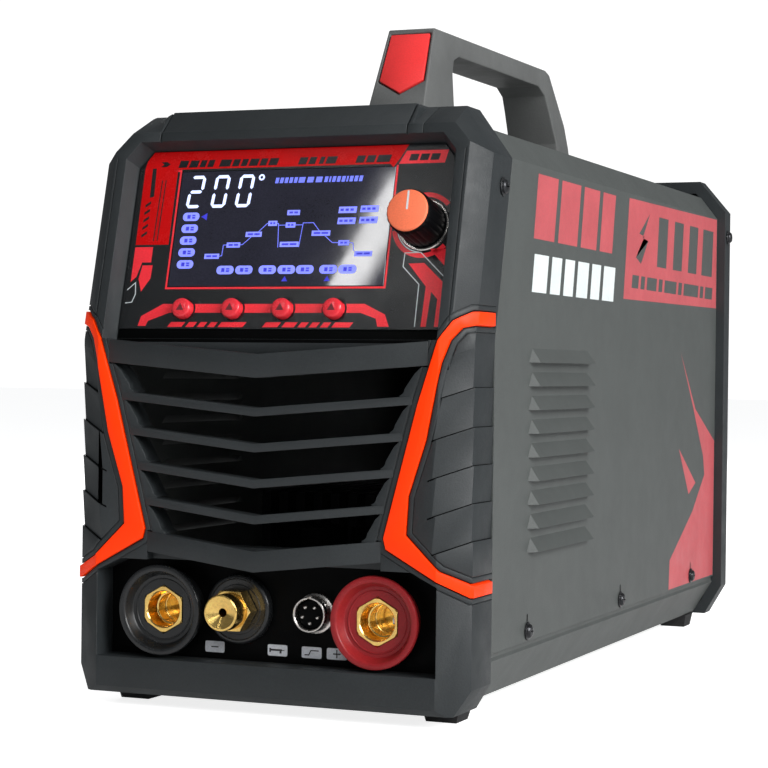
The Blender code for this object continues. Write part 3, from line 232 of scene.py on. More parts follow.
LOOKS = {"charcoal_plastic": CHARCOAL, "black_plastic": BLACK, "orange_plastic": ORANGE,
         "powder_coat": POWDER, "overlay_print": GLOSS_BLACK, "lcd_glass": GLASS,
         "circuit_board": BOARD, "zinc": STEEL, "knob_black": KNOB_BLACK,
         "knob_orange": KNOB_ORANGE, "button_red": KEY_RED, "socket_black": SOCKET_BLACK,
         "socket_red": SOCKET_RED, "brass": BRASS, "nickel": NICKEL, "handle_grey": HANDLE_GREY,
         "insert_red": INSERT_RED, "rubber_black": RUBBER, "black_steel": BLACK_STEEL,
         "aluminium": ALUMINIUM, "copper_winding": COPPER, "rocker_red": ROCKER_RED}


# ---------------------------------------------------------------- mesh helpers
def box(low, high):
    bm = bmesh.new()
    size = [h - l for l, h in zip(low, high)]
    centre = [(h + l) / 2 for l, h in zip(low, high)]
    place = Matrix.Translation(centre) @ Matrix.Diagonal((*size, 1))
    bmesh.ops.create_cube(bm, size=1, matrix=place)
    return bm


def outline(loops, low, high, matrix=None):
    """Flat outlines, holes inside others, thickened from low to high along z."""
    curve = bpy.data.curves.new("outline", "CURVE")
    curve.dimensions = "2D"
    curve.fill_mode = "BOTH"
    curve.extrude = (high - low) / 2
    for loop in loops:
        spline = curve.splines.new("POLY")
        spline.points.add(len(loop) - 1)
        for point, (x, y) in zip(spline.points, loop):
            point.co = (x, y, 0, 1)
        spline.use_cyclic_u = True
    source = bpy.data.objects.new("outline", curve)
    bpy.context.scene.collection.objects.link(source)
    bpy.context.view_layer.update()
    mesh = bpy.data.meshes.new_from_object(source.evaluated_get(bpy.context.evaluated_depsgraph_get()))
    bpy.data.objects.remove(source, do_unlink=True)
    bm = bmesh.new()
    bm.from_mesh(mesh)
    bpy.data.meshes.remove(mesh)
    bmesh.ops.remove_doubles(bm, verts=bm.verts, dist=0.000002)
    bmesh.ops.translate(bm, verts=bm.verts, vec=(0, 0, (low + high) / 2))
    bmesh.ops.dissolve_limit(bm, angle_limit=math.radians(1), verts=bm.verts, edges=bm.edges)
    bmesh.ops.recalc_face_normals(bm, faces=bm.faces)
    if matrix is not None:
        bm.transform(matrix)
    return bm


def lathe(profile, sides=48, closed=True, at=(0, 0), matrix=None):
    """(radius, height) points in millimetres turned about z; an open profile ends on the axis."""
    bm = bmesh.new()
    rings = []
    for radius, height in millimetres(profile):
        if radius < 1e-7:
            rings.append([bm.verts.new((at[0], at[1], height))] * sides)
        else:
            rings.append([bm.verts.new((at[0] + radius * math.cos(math.tau * k / sides),
                                        at[1] + radius * math.sin(math.tau * k / sides), height))
                          for k in range(sides)])
    pairs = list(zip(rings, rings[1:]))
    if closed:
        pairs.append((rings[-1], rings[0]))
    for first, second in pairs:
        for k in range(sides):
            after = (k + 1) % sides
            corners = [first[k], first[after], second[after], second[k]]
            unique = [v for n, v in enumerate(corners) if v not in corners[:n]]
            if len(unique) > 2:
                bm.faces.new(unique)
    bmesh.ops.recalc_face_normals(bm, faces=bm.faces)
    if matrix is not None:
        bm.transform(matrix)
    return bm


def merge(*parts):
    whole = bmesh.new()
    for part in parts:
        mesh = bpy.data.meshes.new("part")
        part.to_mesh(mesh)
        part.free()
        whole.from_mesh(mesh)
        bpy.data.meshes.remove(mesh)
    return whole


def soften(bm, width, segments=2, angle=28):
    """Rounds every edge sharper than angle."""
    bmesh.ops.remove_doubles(bm, verts=bm.verts, dist=0.000005)
    bmesh.ops.dissolve_limit(bm, angle_limit=math.radians(0.6), verts=bm.verts, edges=bm.edges)
    sharp = [e for e in bm.edges if e.is_manifold and e.calc_face_angle(0) > math.radians(angle)]
    bmesh.ops.bevel(bm, geom=sharp, offset=width, offset_type="OFFSET", segments=segments, profile=0.5,
                    affect="EDGES", clamp_overlap=True)
    return bm


def temporary(bm):
    mesh = bpy.data.meshes.new("temporary")
    bm.to_mesh(mesh)
    bm.free()
    ob = bpy.data.objects.new("temporary", mesh)
    bpy.context.scene.collection.objects.link(ob)
    return ob


def combine(bm, cutters, operation="DIFFERENCE"):
    """The mesh after a Boolean with each of the cutters."""
    base = temporary(bm)
    others = [temporary(cutter) for cutter in cutters]
    for other in others:
        modifier = base.modifiers.new("combine", "BOOLEAN")
        modifier.operation = operation
        modifier.solver = "EXACT"
        modifier.object = other
    bpy.context.view_layer.update()
    result = bpy.data.meshes.new_from_object(base.evaluated_get(bpy.context.evaluated_depsgraph_get()))
    for ob in [base, *others]:
        bpy.data.objects.remove(ob, do_unlink=True)
    made = bmesh.new()
    made.from_mesh(result)
    bpy.data.meshes.remove(result)
    return made


def trim_by_faces(bm, faces, inset=0.0):
    for point, normal in faces:
        geometry = bm.verts[:] + bm.edges[:] + bm.faces[:]
        bmesh.ops.bisect_plane(bm, geom=geometry, plane_co=Vector(point) - Vector(normal) * inset,
                               plane_no=normal, clear_outer=True)
        rim = [edge for edge in bm.edges if edge.is_boundary]
        if rim:
            bmesh.ops.holes_fill(bm, edges=rim)


def carve(low, high, faces, inset=0.0, extra=()):
    bm = box(low, high)
    trim_by_faces(bm, faces, inset)
    trim_by_faces(bm, extra)
    bmesh.ops.recalc_face_normals(bm, faces=bm.faces)
    return bm


def plane_through(a, b, c, outward):
    a, b, c = Vector(a), Vector(b), Vector(c)
    normal = (b - a).cross(c - a).normalized()
    if normal.dot(Vector(outward)) < 0:
        normal.negate()
    return a, normal


def grown(points, distance):
    """A closed counter-clockwise outline moved outwards by distance."""
    result = []
    count = len(points)
    for index in range(count):
        before, here = Vector(points[index - 1]), Vector(points[index])
        after = Vector(points[(index + 1) % count])
        first, second = (here - before).normalized(), (after - here).normalized()
        normal = Vector((first.y + second.y, -first.x - second.x)).normalized()
        stretch = max(0.3, normal.dot(Vector((first.y, -first.x))))
        result.append(tuple(here + normal * distance / stretch))
    return result


def mirrored(points):
    return [(-x, y) for x, y in reversed(points)]


def millimetres(points):
    return [(x / 1000, y / 1000) for x, y in points]


def rectangle(x0, y0, x1, y1, slant=0.0):
    """A box in a drawing plane; its top is moved along x by slant."""
    return [(x0, y0), (x1, y0), (x1 + slant, y1), (x0 + slant, y1)]


def pill(x0, y0, x1, y1, radius, steps=5):
    radius = min(radius, (x1 - x0) / 2, (y1 - y0) / 2)
    points = []
    for cx, cy, turn in ((x1 - radius, y0 + radius, -0.25), (x1 - radius, y1 - radius, 0.0),
                         (x0 + radius, y1 - radius, 0.25), (x0 + radius, y0 + radius, 0.5)):
        for step in range(steps + 1):
            angle = math.tau * (turn + 0.25 * step / steps)
            points.append((cx + radius * math.cos(angle), cy + radius * math.sin(angle)))
    return points


def stroke(points, width):
    """A line of that width through the points, as an outline."""
    points = [Vector(p) for p in points]
    left, right = [], []
    for index, here in enumerate(points):
        steps = []
        if index:
            steps.append((here - points[index - 1]).normalized())
        if index < len(points) - 1:
            steps.append((points[index + 1] - here).normalized())
        along = sum(steps, Vector((0, 0))).normalized()
        across = Vector((-along.y, along.x))
        reach = width / 2 / max(0.35, across.dot(Vector((-steps[0].y, steps[0].x))))
        left.append(tuple(here + across * reach))
        right.append(tuple(here - across * reach))
    return right + left[::-1]


def arc(centre, radius, start, end, steps=24):
    """Points on a circle between two angles in degrees."""
    return [(centre[0] + radius * math.cos(math.radians(start + (end - start) * k / steps)),
             centre[1] + radius * math.sin(math.radians(start + (end - start) * k / steps)))
            for k in range(steps + 1)]


def add(name, bm, mat, body=MACHINE, replaces=(), angle=30):
    mesh = bpy.data.meshes.new(name)
    bm.to_mesh(mesh)
    bm.free()
    mesh.shade_smooth()
    mesh.set_sharp_from_angle(angle=math.radians(angle))
    mesh.materials.append(mat)
    ob = bpy.data.objects.new(name, mesh)
    bpy.context.scene.collection.objects.link(ob)
    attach(ob, body)
    if replaces:
        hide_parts(*replaces)
    return ob


PRINT = 0.00003


def printed(name, shapes, mat, matrix, lift=0.0, body=MACHINE):
    """Ink: flat shapes a few hundredths of a millimetre proud. Each shape is a loop or a list of loops."""
    parts = [outline(shape if isinstance(shape[0], list) else [shape], lift, lift + PRINT, matrix)
             for shape in shapes]
    return add(name, merge(*parts), mat, body)


# ---------------------------------------------------------------- front bezel
TOP_CORNER = ((0.0774, BEZEL_TOP), (HALF_WIDTH, 0.2469))
BOTTOM_CORNER = ((HALF_WIDTH, 0.0170), (0.0886, 0.006))
TRIM_OUTLINE = ((0.1050, 0.1781), (0.0935, 0.1777), (0.0870, 0.1737), (0.0815, 0.1655),
                (0.0727, 0.1380), (0.0578, 0.0808), (0.0590, 0.0762), (0.0945, 0.0565),
                (0.1050, 0.0565), (0.1050, 0.0616), (0.0955, 0.0616), (0.0830, 0.0675),
                (0.0678, 0.0825), (0.0688, 0.0992), (0.0765, 0.1232), (0.0828, 0.1560),
                (0.0860, 0.1655), (0.0903, 0.1708), (0.0960, 0.1722), (0.1050, 0.1722))
BAY_OUTLINE = ((-0.0820, 0.0224), (0.0820, 0.0224), (0.0820, 0.0610), (0.0700, 0.0668),
               (-0.0700, 0.0668), (-0.0820, 0.0610))
FRONT_FACE = -0.2360
RIDGE_Y = -0.2270
SHINGLE_TOPS = (0.1622, 0.1455, 0.1287, 0.1124, 0.0963, 0.0802)
SHINGLE_SLOPE = 0.39
SHINGLE_DEPTH = 0.0009
WALL = 0.003
GROOVE_GAP = 0.0007
GROOVE_DEPTH = 0.0016
LIP = 0.0026
LIP_LINE = 0.0005
RIM_LINE_X = 0.0853
HAIRLINE = 0.0002
SLOTS = 5
BLADE_TOP = 0.1417
BLADE_PITCH = 0.015575
BLADE_HEIGHT = 0.0037
BLADE_DROP = 0.0062
BAR_DEPTH = 0.0057
END_OUT = 0.0150
APEX_OUT = 0.0231


def face_point(x, up):
    """A point of the leaning face, x along it and up from its lower edge."""
    return Vector((x, 0, 0)) + LEAN_CORNER + FACE_UP * up


def flank_faces(sign):
    """The diagonal facet and the side below the lean."""
    edge = HALF_WIDTH * sign
    return [((edge, 0, 0), Vector((sign, 0, 0))),
            plane_through((edge, RIDGE_Y, 0), (0.0815 * sign, FRONT_FACE - 0.0002, 0),
                          (edge, RIDGE_Y, 1), (sign, -1, 0))]


def side_faces(sign):
    edge = HALF_WIDTH * sign
    high_inner = Vector((0.0868 * sign, FRONT_FACE, LEAN_CORNER.z))
    ridge = Vector((edge, RIDGE_Y, LEAN_CORNER.z))
    top_a, top_b = TOP_CORNER
    foot_a, foot_b = BOTTOM_CORNER
    corner = face_point(0.0835 * sign, 0.093)
    return flank_faces(sign) + [
        plane_through((top_a[0] * sign, 0, top_a[1]), (top_b[0] * sign, 0, top_b[1]),
                      (top_b[0] * sign, 1, top_b[1]), (sign, 0, 1)),
        plane_through((foot_a[0] * sign, 0, foot_a[1]), (foot_b[0] * sign, 0, foot_b[1]),
                      (foot_b[0] * sign, 1, foot_b[1]), (sign, 0, -1)),
        plane_through(ridge, high_inner, ridge + FACE_UP, (sign, -1, 0)),
        plane_through((top_a[0] * sign, -0.1945, top_a[1]), (top_b[0] * sign, -0.2067, top_b[1]),
                      corner, (sign, -1, 1)),
    ]


def bezel_faces():
    top_front = face_point(0, 0.098)
    return side_faces(1) + side_faces(-1) + [
        ((0, 0, BEZEL_TOP), (0, 0, 1)),
        ((0, 0, 0.006), (0, 0, -1)),
        ((0, FRONT_FACE, 0), (0, -1, 0)),
        (LEAN_CORNER, FACE_OUT),
        plane_through((0, -0.193, BEZEL_TOP), top_front, top_front + Vector((1, 0, 0)), (0, -1, 1)),
        plane_through((0, FRONT_FACE, 0.0090), (0, FRONT_FACE + 0.003, 0.006), (1, FRONT_FACE, 0.0090),
                      (0, -1, -1)),
    ]


BEZEL_FACES = bezel_faces()


def bezel_block(inset, z_low=-0.02, z_high=0.30, extra=()):
    return carve((-0.12, -0.27, z_low), (0.12, -0.15, z_high), BEZEL_FACES, inset, extra)


def boundary_y(z):
    return -0.2025 + max(0.0, z - LEAN_CORNER.z) * 0.25


def recess_outline(half, top, bottom, corner):
    return [(-half, bottom), (half, bottom), (half, top - corner[1]), (half - corner[0], top),
            (-half + corner[0], top), (-half, top - corner[1])]


def control_recess():
    floor, reach = -0.0013, RECESS_DEPTH * 1.5
    spread = 0.0020 * (reach - floor) / RECESS_DEPTH
    deep = recess_outline(0.0785, 0.0447, -0.0470, (0.0065, 0.0080))
    wide = recess_outline(0.0785 + spread, 0.0447 + spread * 0.65, -0.0470, (0.0065, 0.0080))
    bm = bmesh.new()
    rings = [[bm.verts.new((x, y, height)) for x, y in loop]
             for loop, height in ((deep, floor), (wide, reach))]
    bm.faces.new(reversed(rings[0]))
    bm.faces.new(rings[1])
    for k in range(6):
        after = (k + 1) % 6
        bm.faces.new((rings[0][k], rings[0][after], rings[1][after], rings[1][k]))
    bmesh.ops.recalc_face_normals(bm, faces=bm.faces)
    bm.transform(PANEL)
    return bm


def shingle_band(sign, top, bottom):
    """A slanted slice of the cheek between two heights at its outer edge."""
    tilt = Vector((-SHINGLE_SLOPE * sign, 0, 1)).normalized()
    inner, outer = (0.056, 0.12) if sign > 0 else (-0.12, -0.056)
    return carve((inner, -0.26, 0.04), (outer, -0.19, 0.19),
                 [(Vector((HALF_WIDTH * sign, 0, top)), tilt),
                  (Vector((HALF_WIDTH * sign, 0, bottom)), -tilt)])


def cheek_zone(sign):
    """The part of a cheek that its trim goes round."""
    region = [(0.1050, 0.1722), *TRIM_OUTLINE[-2:9:-1], (0.1050, 0.0616)]
    if sign < 0:
        region = mirrored(region)
    return outline([region[::-1]], 0.18, 0.27, ACROSS)


def trim_lip(sign):
    """The trim and the narrow lip that stands round it."""
    loop = TRIM_OUTLINE if sign > 0 else mirrored(TRIM_OUTLINE)
    return outline([grown(loop, LIP)], 0.18, 0.27, ACROSS)


def shingle_cutters(sign):
    """Wedges that leave each cheek plate proud along its top edge and sunk along its lower one."""
    wedges = []
    for top, bottom in zip(SHINGLE_TOPS, SHINGLE_TOPS[1:]):
        tilted = []
        for point, normal in flank_faces(sign):
            lean = (normal + Vector((0, 0, -SHINGLE_DEPTH / (top - bottom)))).normalized()
            tilted.append((Vector((point[0], point[1], top)), lean))
        keeper = carve((-0.2, -0.3, 0.0), (0.2, -0.1, 0.25), tilted)
        wedges.append(combine(shingle_band(sign, top, bottom), [keeper]))
    zone, lip = cheek_zone(sign), trim_lip(sign)
    return [combine(combine(wedge, [zone.copy()], "INTERSECT"), [lip.copy()]) for wedge in wedges]


def cheek_crevice_shade(sign):
    """Black strips in the step below each cheek plate: painted shade standing in for the shadow in the crevice
    there.
    """
    faces = [(Vector(point), normal) for point, normal in flank_faces(sign)]
    lines = []
    for top in SHINGLE_TOPS[1:]:
        band = shingle_band(sign, top + 0.00050, top - 0.00020)
        trim_by_faces(band, faces, SHINGLE_DEPTH - 0.00012)
        trim_by_faces(band, [((0, FRONT_FACE, 0), (0, -1, 0))], -0.00006)
        core = carve((-0.2, -0.3, 0.0), (0.2, -0.1, 0.25), faces, 0.0024)
        line = combine(band, [cheek_zone(sign)], "INTERSECT")
        lines.append(combine(line, [trim_lip(sign), core]))
    return merge(*lines)


def rail_edge(z):
    """Half the width between the trims' lips at height z."""
    return max(0.0544 + 0.2605 * (z - 0.0808), 0.0693 + 0.3200 * (z - 0.1380))


def front_bezel():
    line = [(-0.10, -0.02), (-0.10, 0.30)] + [(boundary_y(z), z) for z in (0.30, LEAN_CORNER.z, -0.02)]
    behind = outline([line], -0.13, 0.13, SIDE)
    pad = carve((-0.0660, -0.25, 0.25), (0.0590, -0.15, 0.28), [
        plane_through((0, -0.2128, 0.2590), (0, -0.2010, 0.2704), (1, -0.2010, 0.2704), (0, -1, 1)),
        ((0, 0, 0.2704), (0, 0, 1)),
        (LEAN_CORNER, FACE_OUT),
        plane_through((-0.0655, 0, 0.2690), (-0.0628, 0, 0.2712), (-0.0628, 1, 0.2712), (-1, 0, 1)),
        plane_through((0.0585, 0, 0.2690), (0.0558, 0, 0.2712), (0.0558, 1, 0.2712), (1, 0, 1))])
    body = combine(bezel_block(0.0), [pad], "UNION")
    cutters = [behind,
               bezel_block(WALL, 0.1560, extra=[(LEAN_CORNER - FACE_OUT * 0.0133, FACE_OUT)]),
               bezel_block(WALL, 0.0740, 0.1585),
               bezel_block(WALL, -0.02, 0.0760, extra=[((0, -0.218, 0), (0, -1, 0))]),
               control_recess(),
               outline([rectangle(SCREEN_LOW[0] - 0.0012, SCREEN_LOW[1] - 0.0012,
                                  SCREEN_HIGH[0] + 0.0012, SCREEN_HIGH[1] + 0.0012)], -0.012, 0.004, PANEL),
               lathe([(0, 4), (5, 4), (5, -12), (0, -12)], 24, False, KNOB, PANEL),
               outline([BAY_OUTLINE], -0.010, 0.030, FRONT),
               outline([grown(BAY_OUTLINE, 0.0015)], -0.012, 0.00015, FRONT),
               outline([[(-rail_edge(z) * side, z) for z, side in
                         ((0.0735, 1), (0.0735, -1), (0.1380, -1), (0.1545, -1), (0.1545, 1), (0.1380, 1))]],
                       -0.030, 0.030, FRONT),
               outline([rectangle(-0.0770, 0.1540, 0.0770, 0.1654)], 0.0089, 0.030, FRONT),
               outline([rectangle(-0.0565, 0.0640, 0.0565, 0.0798)], 0.0089, 0.030, FRONT)]
    cutters += [lathe([(0, 4), (5, 4), (5, -12), (0, -12)], 20, False, at, PANEL)
                for at in BUTTONS]
    for sign in (1, -1):
        loop = TRIM_OUTLINE if sign > 0 else mirrored(TRIM_OUTLINE)
        groove = outline([grown(loop, GROOVE_GAP)], 0.2010, 0.27, ACROSS)
        cutters.append(combine(groove, [bezel_block(GROOVE_DEPTH)]))
        line = outline([grown(loop, 0.0031)], 0.2010, 0.27, ACROSS)
        inside = outline([grown(loop, LIP)], 0.19, 0.28, ACROSS)
        cutters.append(combine(line, [inside, bezel_block(LIP_LINE)]))
        cutters += shingle_cutters(sign)
        rim_line = rectangle(RIM_LINE_X * sign - HAIRLINE, -0.0480, RIM_LINE_X * sign + HAIRLINE, 0.0385)
        cutters.append(outline([rim_line], RECESS_DEPTH - 0.0005, 0.014, PANEL))
    for x, width, depth in ((-0.0642, 0.0008, 0.0012), (0.0570, 0.0008, 0.0012), (0.0646, 0.0004, 0.0006)):
        slot = carve((x - width / 2, -0.24, 0.20), (x + width / 2, -0.17, 0.28), [])
        cutters.append(combine(slot, [bezel_block(depth)]))
    body = soften(combine(body, cutters), 0.0005, 2)
    add("bezel_shell", body, CHARCOAL, replaces=["front_bezel"])


front_bezel()
# Painted shade: black strips where the crevice under each cheek plate lies in shadow.
for side, sign in (("right", 1), ("left", -1)):
    add("cheek_crevice_shade_" + side, cheek_crevice_shade(sign), BLACK)


# ---------------------------------------------------------------- grille
def chevron(half, z_end, height, depth):
    """A V-shaped bar, lowest and furthest forward at its middle; z_end is its top edge at the ends."""
    bm = bmesh.new()
    rings = []
    for x, drop, out in ((-half, 0, END_OUT), (0, BLADE_DROP, APEX_OUT), (half, 0, END_OUT)):
        top = z_end - drop
        rings.append([bm.verts.new(at) for at in ((x, top, out), (x, top - height, out),
                                                  (x, top - height, out - depth), (x, top, out - depth))])
    for first, second in zip(rings, rings[1:]):
        for k in range(4):
            bm.faces.new((first[k], first[(k + 1) % 4], second[(k + 1) % 4], second[k]))
    bm.faces.new(rings[0])
    bm.faces.new(rings[-1])
    bmesh.ops.recalc_face_normals(bm, faces=bm.faces)
    bm.transform(FRONT)
    return bm


def grille():
    """Blades between two stout bars; each slot's lower corners are filled by a rounded foot."""
    blade_tops = [BLADE_TOP - BLADE_PITCH * k for k in range(SLOTS)]
    inner = []
    for low in blade_tops:
        high = low + BLADE_PITCH - BLADE_HEIGHT - 0.0004
        foot = rail_edge(low) - 0.0040
        inner += [(rail_edge(high) - 0.0010, high), (rail_edge(high) - 0.0032, high - 0.0020),
                  (foot, low + 0.0030)]
        inner += arc((foot - 0.0030, low + 0.0030), 0.0030, 0, -80, 4)[1:]
    z_low, z_high = 0.0737, 0.1543
    inner.append((inner[-1][0], z_low))
    loop = [(rail_edge(z) - 0.0001, z) for z in (z_low, 0.1380, z_high)] + inner
    parts = [outline([side], 0.0035, END_OUT, FRONT) for side in (loop, mirrored(loop))]
    parts += [chevron(rail_edge(z) - 0.0004, z, BLADE_HEIGHT, 0.0085) for z in blade_tops[:-1]]
    parts += [chevron(0.07692, 0.1650, 0.0103, BAR_DEPTH), chevron(0.05642, 0.0794, 0.0090, BAR_DEPTH)]
    body = combine(parts[0], parts[1:], "UNION")
    add("grille_blades", soften(body, 0.0003, 2), CHARCOAL, replaces=["front_grille"])


grille()


# ---------------------------------------------------------------- trims
def trims():
    for side, loop in (("right", TRIM_OUTLINE), ("left", mirrored(TRIM_OUTLINE))):
        strip = combine(outline([loop], 0.2043, 0.27, ACROSS), [bezel_block(-0.0009)], "INTERSECT")
        strip = combine(strip, [bezel_block(0.0012)])
        add("trim_strip_" + side, soften(strip, 0.0007, 3, 20), ORANGE,
            replaces=["trim_" + side])


trims()


# ---------------------------------------------------------------- control panel
def digit_segments(x, y, width, height, lit, thick=0.0015, slant=0.09):
    """Seven-segment bars of a digit whose lower left corner is at x, y."""
    half = thick / 2
    gap = 0.00045
    mid, top = y + height / 2, y + height
    flats = {"a": (top - half), "g": mid, "d": (y + half)}
    loops = []
    for key, level in flats.items():
        if key in lit:
            loops.append([(x + gap + half * 0.4, level), (x + gap + half * 1.4, level - half),
                          (x + width - gap - half * 1.4, level - half), (x + width - gap - half * 0.4, level),
                          (x + width - gap - half * 1.4, level + half), (x + gap + half * 1.4, level + half)])
    for key, centre, low, high in (("f", x + half, mid, top), ("b", x + width - half, mid, top),
                                   ("e", x + half, y, mid), ("c", x + width - half, y, mid)):
        if key in lit:
            low, high = low + gap + half * 0.5, high - gap - half * 0.5
            loops.append([(centre, low), (centre + half, low + half), (centre + half, high - half),
                          (centre, high), (centre - half, high - half), (centre - half, low + half)])
    return [[(px + (py - y) * slant, py) for px, py in loop] for loop in loops]


def screen():
    glass = box((SCREEN_LOW[0] + 0.0002, SCREEN_LOW[1] + 0.0002, -0.0012),
                (SCREEN_HIGH[0] - 0.0002, SCREEN_HIGH[1] - 0.0002, -0.00002))
    glass.transform(PANEL)
    add("screen_window", soften(glass, 0.00015, 1), GLASS)
    digits = digit_segments(-0.0520, 0.0168, 0.0075, 0.0155, "abged")
    for x in (-0.0395, -0.0272):
        digits += digit_segments(x, 0.0168, 0.0075, 0.0155, "abcdef")
    degree = (-0.0151, 0.0308)
    digits.append([arc(degree, 0.0015, 0, 350, 20), arc(degree, 0.0007, 0, 350, 14)])
    printed("screen_digits", digits, LCD_WHITE, PANEL, PRINT)
    bars, x = [], -0.0082
    for width in (1.6, 1.6, 1.6, 1.6, 1.6, 3.0, 3.0, 3.0, 1.6, 0.8, 1.6, 1.6, 1.6, 0.8, 1.6, 1.6, 1.6):
        bars.append(rectangle(x, 0.0278, x + width / 1000, 0.0304, 0.0004))
        x += width / 1000 + (0.0007 if width < 2 else 0.0012)
    printed("screen_title_bars", bars, LCD_BLUE, PANEL, PRINT)
    lit, dark = [], []
    left_column = [(-0.0484, 0.0127 - 0.00565 * k, 0.0042) for k in range(5)]
    bottom_row = [(x, -0.0127, 0.0043) for x in (-0.0278, -0.0184, -0.0068, 0.0025, 0.0115, 0.0228, 0.0320)]
    for x, y, half in left_column + bottom_row:
        lit.append(pill(x - half, y - 0.0020, x + half, y + 0.0020, 0.0019))
        dark.append(rectangle(x - 0.0019, y - 0.0009, x - 0.0003, y + 0.0009))
        dark.append(rectangle(x + 0.0005, y - 0.0009, x + 0.0021, y - 0.0001))
        dark.append(rectangle(x + 0.0005, y + 0.0002, x + 0.0021, y + 0.0009))
    for x, y in ((0.0289, 0.0146), (0.0393, 0.0149), (0.0289, 0.0095), (0.0393, 0.0097)):
        lit.append(rectangle(x - 0.0043, y - 0.0015, x + 0.0043, y + 0.0015, 0.0002))
        dark += [rectangle(x - 0.0034 + 0.0024 * k, y - 0.0005, x - 0.0018 + 0.0024 * k, y + 0.0006)
                 for k in range(3)]
    for x, y, half in ((-0.0354, -0.0062, 0.0037), (-0.0252, -0.0010, 0.0034), (-0.0157, 0.0039, 0.0040),
                       (-0.0069, 0.0089, 0.0022), (0.0028, 0.0138, 0.0031), (0.0020, 0.0080, 0.0024),
                       (0.0024, -0.0010, 0.0046), (0.0173, 0.0040, 0.0045), (0.0288, -0.0006, 0.0026),
                       (0.0387, -0.0057, 0.0042)):
        lit.append(rectangle(x - half, y - 0.0012, x + half, y + 0.0012))
        dark.append(rectangle(x - half + 0.0010, y - 0.0004, x - 0.0003, y + 0.0005))
        dark.append(rectangle(x + 0.0003, y - 0.0004, x + half - 0.0010, y + 0.0005))
    lines = [millimetres([(-31.7, -6.2), (-30.4, -6.0), (-30.2, -1.0), (-28.6, -0.9)]),
             millimetres([(-21.8, -1.0), (-20.6, -0.8), (-16.8, 2.7)]),
             millimetres([(-13.4, 5.1), (-9.6, 8.9), (-9.1, 8.9)]),
             millimetres([(-4.7, 8.9), (-4.0, 8.8), (-3.0, -2.4)]),
             millimetres([(-3.8, 8.0), (-0.4, 8.0)]), millimetres([(4.4, 8.0), (7.8, 8.0)]),
             millimetres([(7.2, -2.3), (8.1, 8.9), (13.1, 8.9), (16.3, 5.2)]),
             millimetres([(19.4, 2.8), (23.2, -0.4), (26.2, -0.5)]),
             millimetres([(31.4, -0.5), (33.3, -0.8), (34.0, -4.4)])]
    printed("screen_curve", [stroke(line, 0.00035) for line in lines], LCD_BLUE, PANEL, PRINT)
    printed("screen_fields", lit, LCD_BLUE_PALE, PANEL, PRINT)
    printed("screen_field_marks", dark, LCD_DEEP, PANEL, PRINT * 2)
    markers = [millimetres([(-43.3, 12.6), (-40.3, 10.9), (-40.3, 14.3)]),
               millimetres([(0.6, -18.1), (3.6, -18.1), (2.1, -15.7)]),
               millimetres([(21.2, -18.1), (24.2, -18.1), (22.7, -15.7)])]
    printed("screen_markers", markers, LCD_DEEP, PANEL, PRINT)


def panel_sill():
    """A black plate over the recess floor between the overlay and the grille: painted shade darkening that strip.
    """
    strip = outline([rectangle(-0.0782, -0.0468, 0.0782, -0.0403)], -0.0012, -0.0002, PANEL)
    add("panel_sill", soften(strip, 0.0002, 2), BLACK)


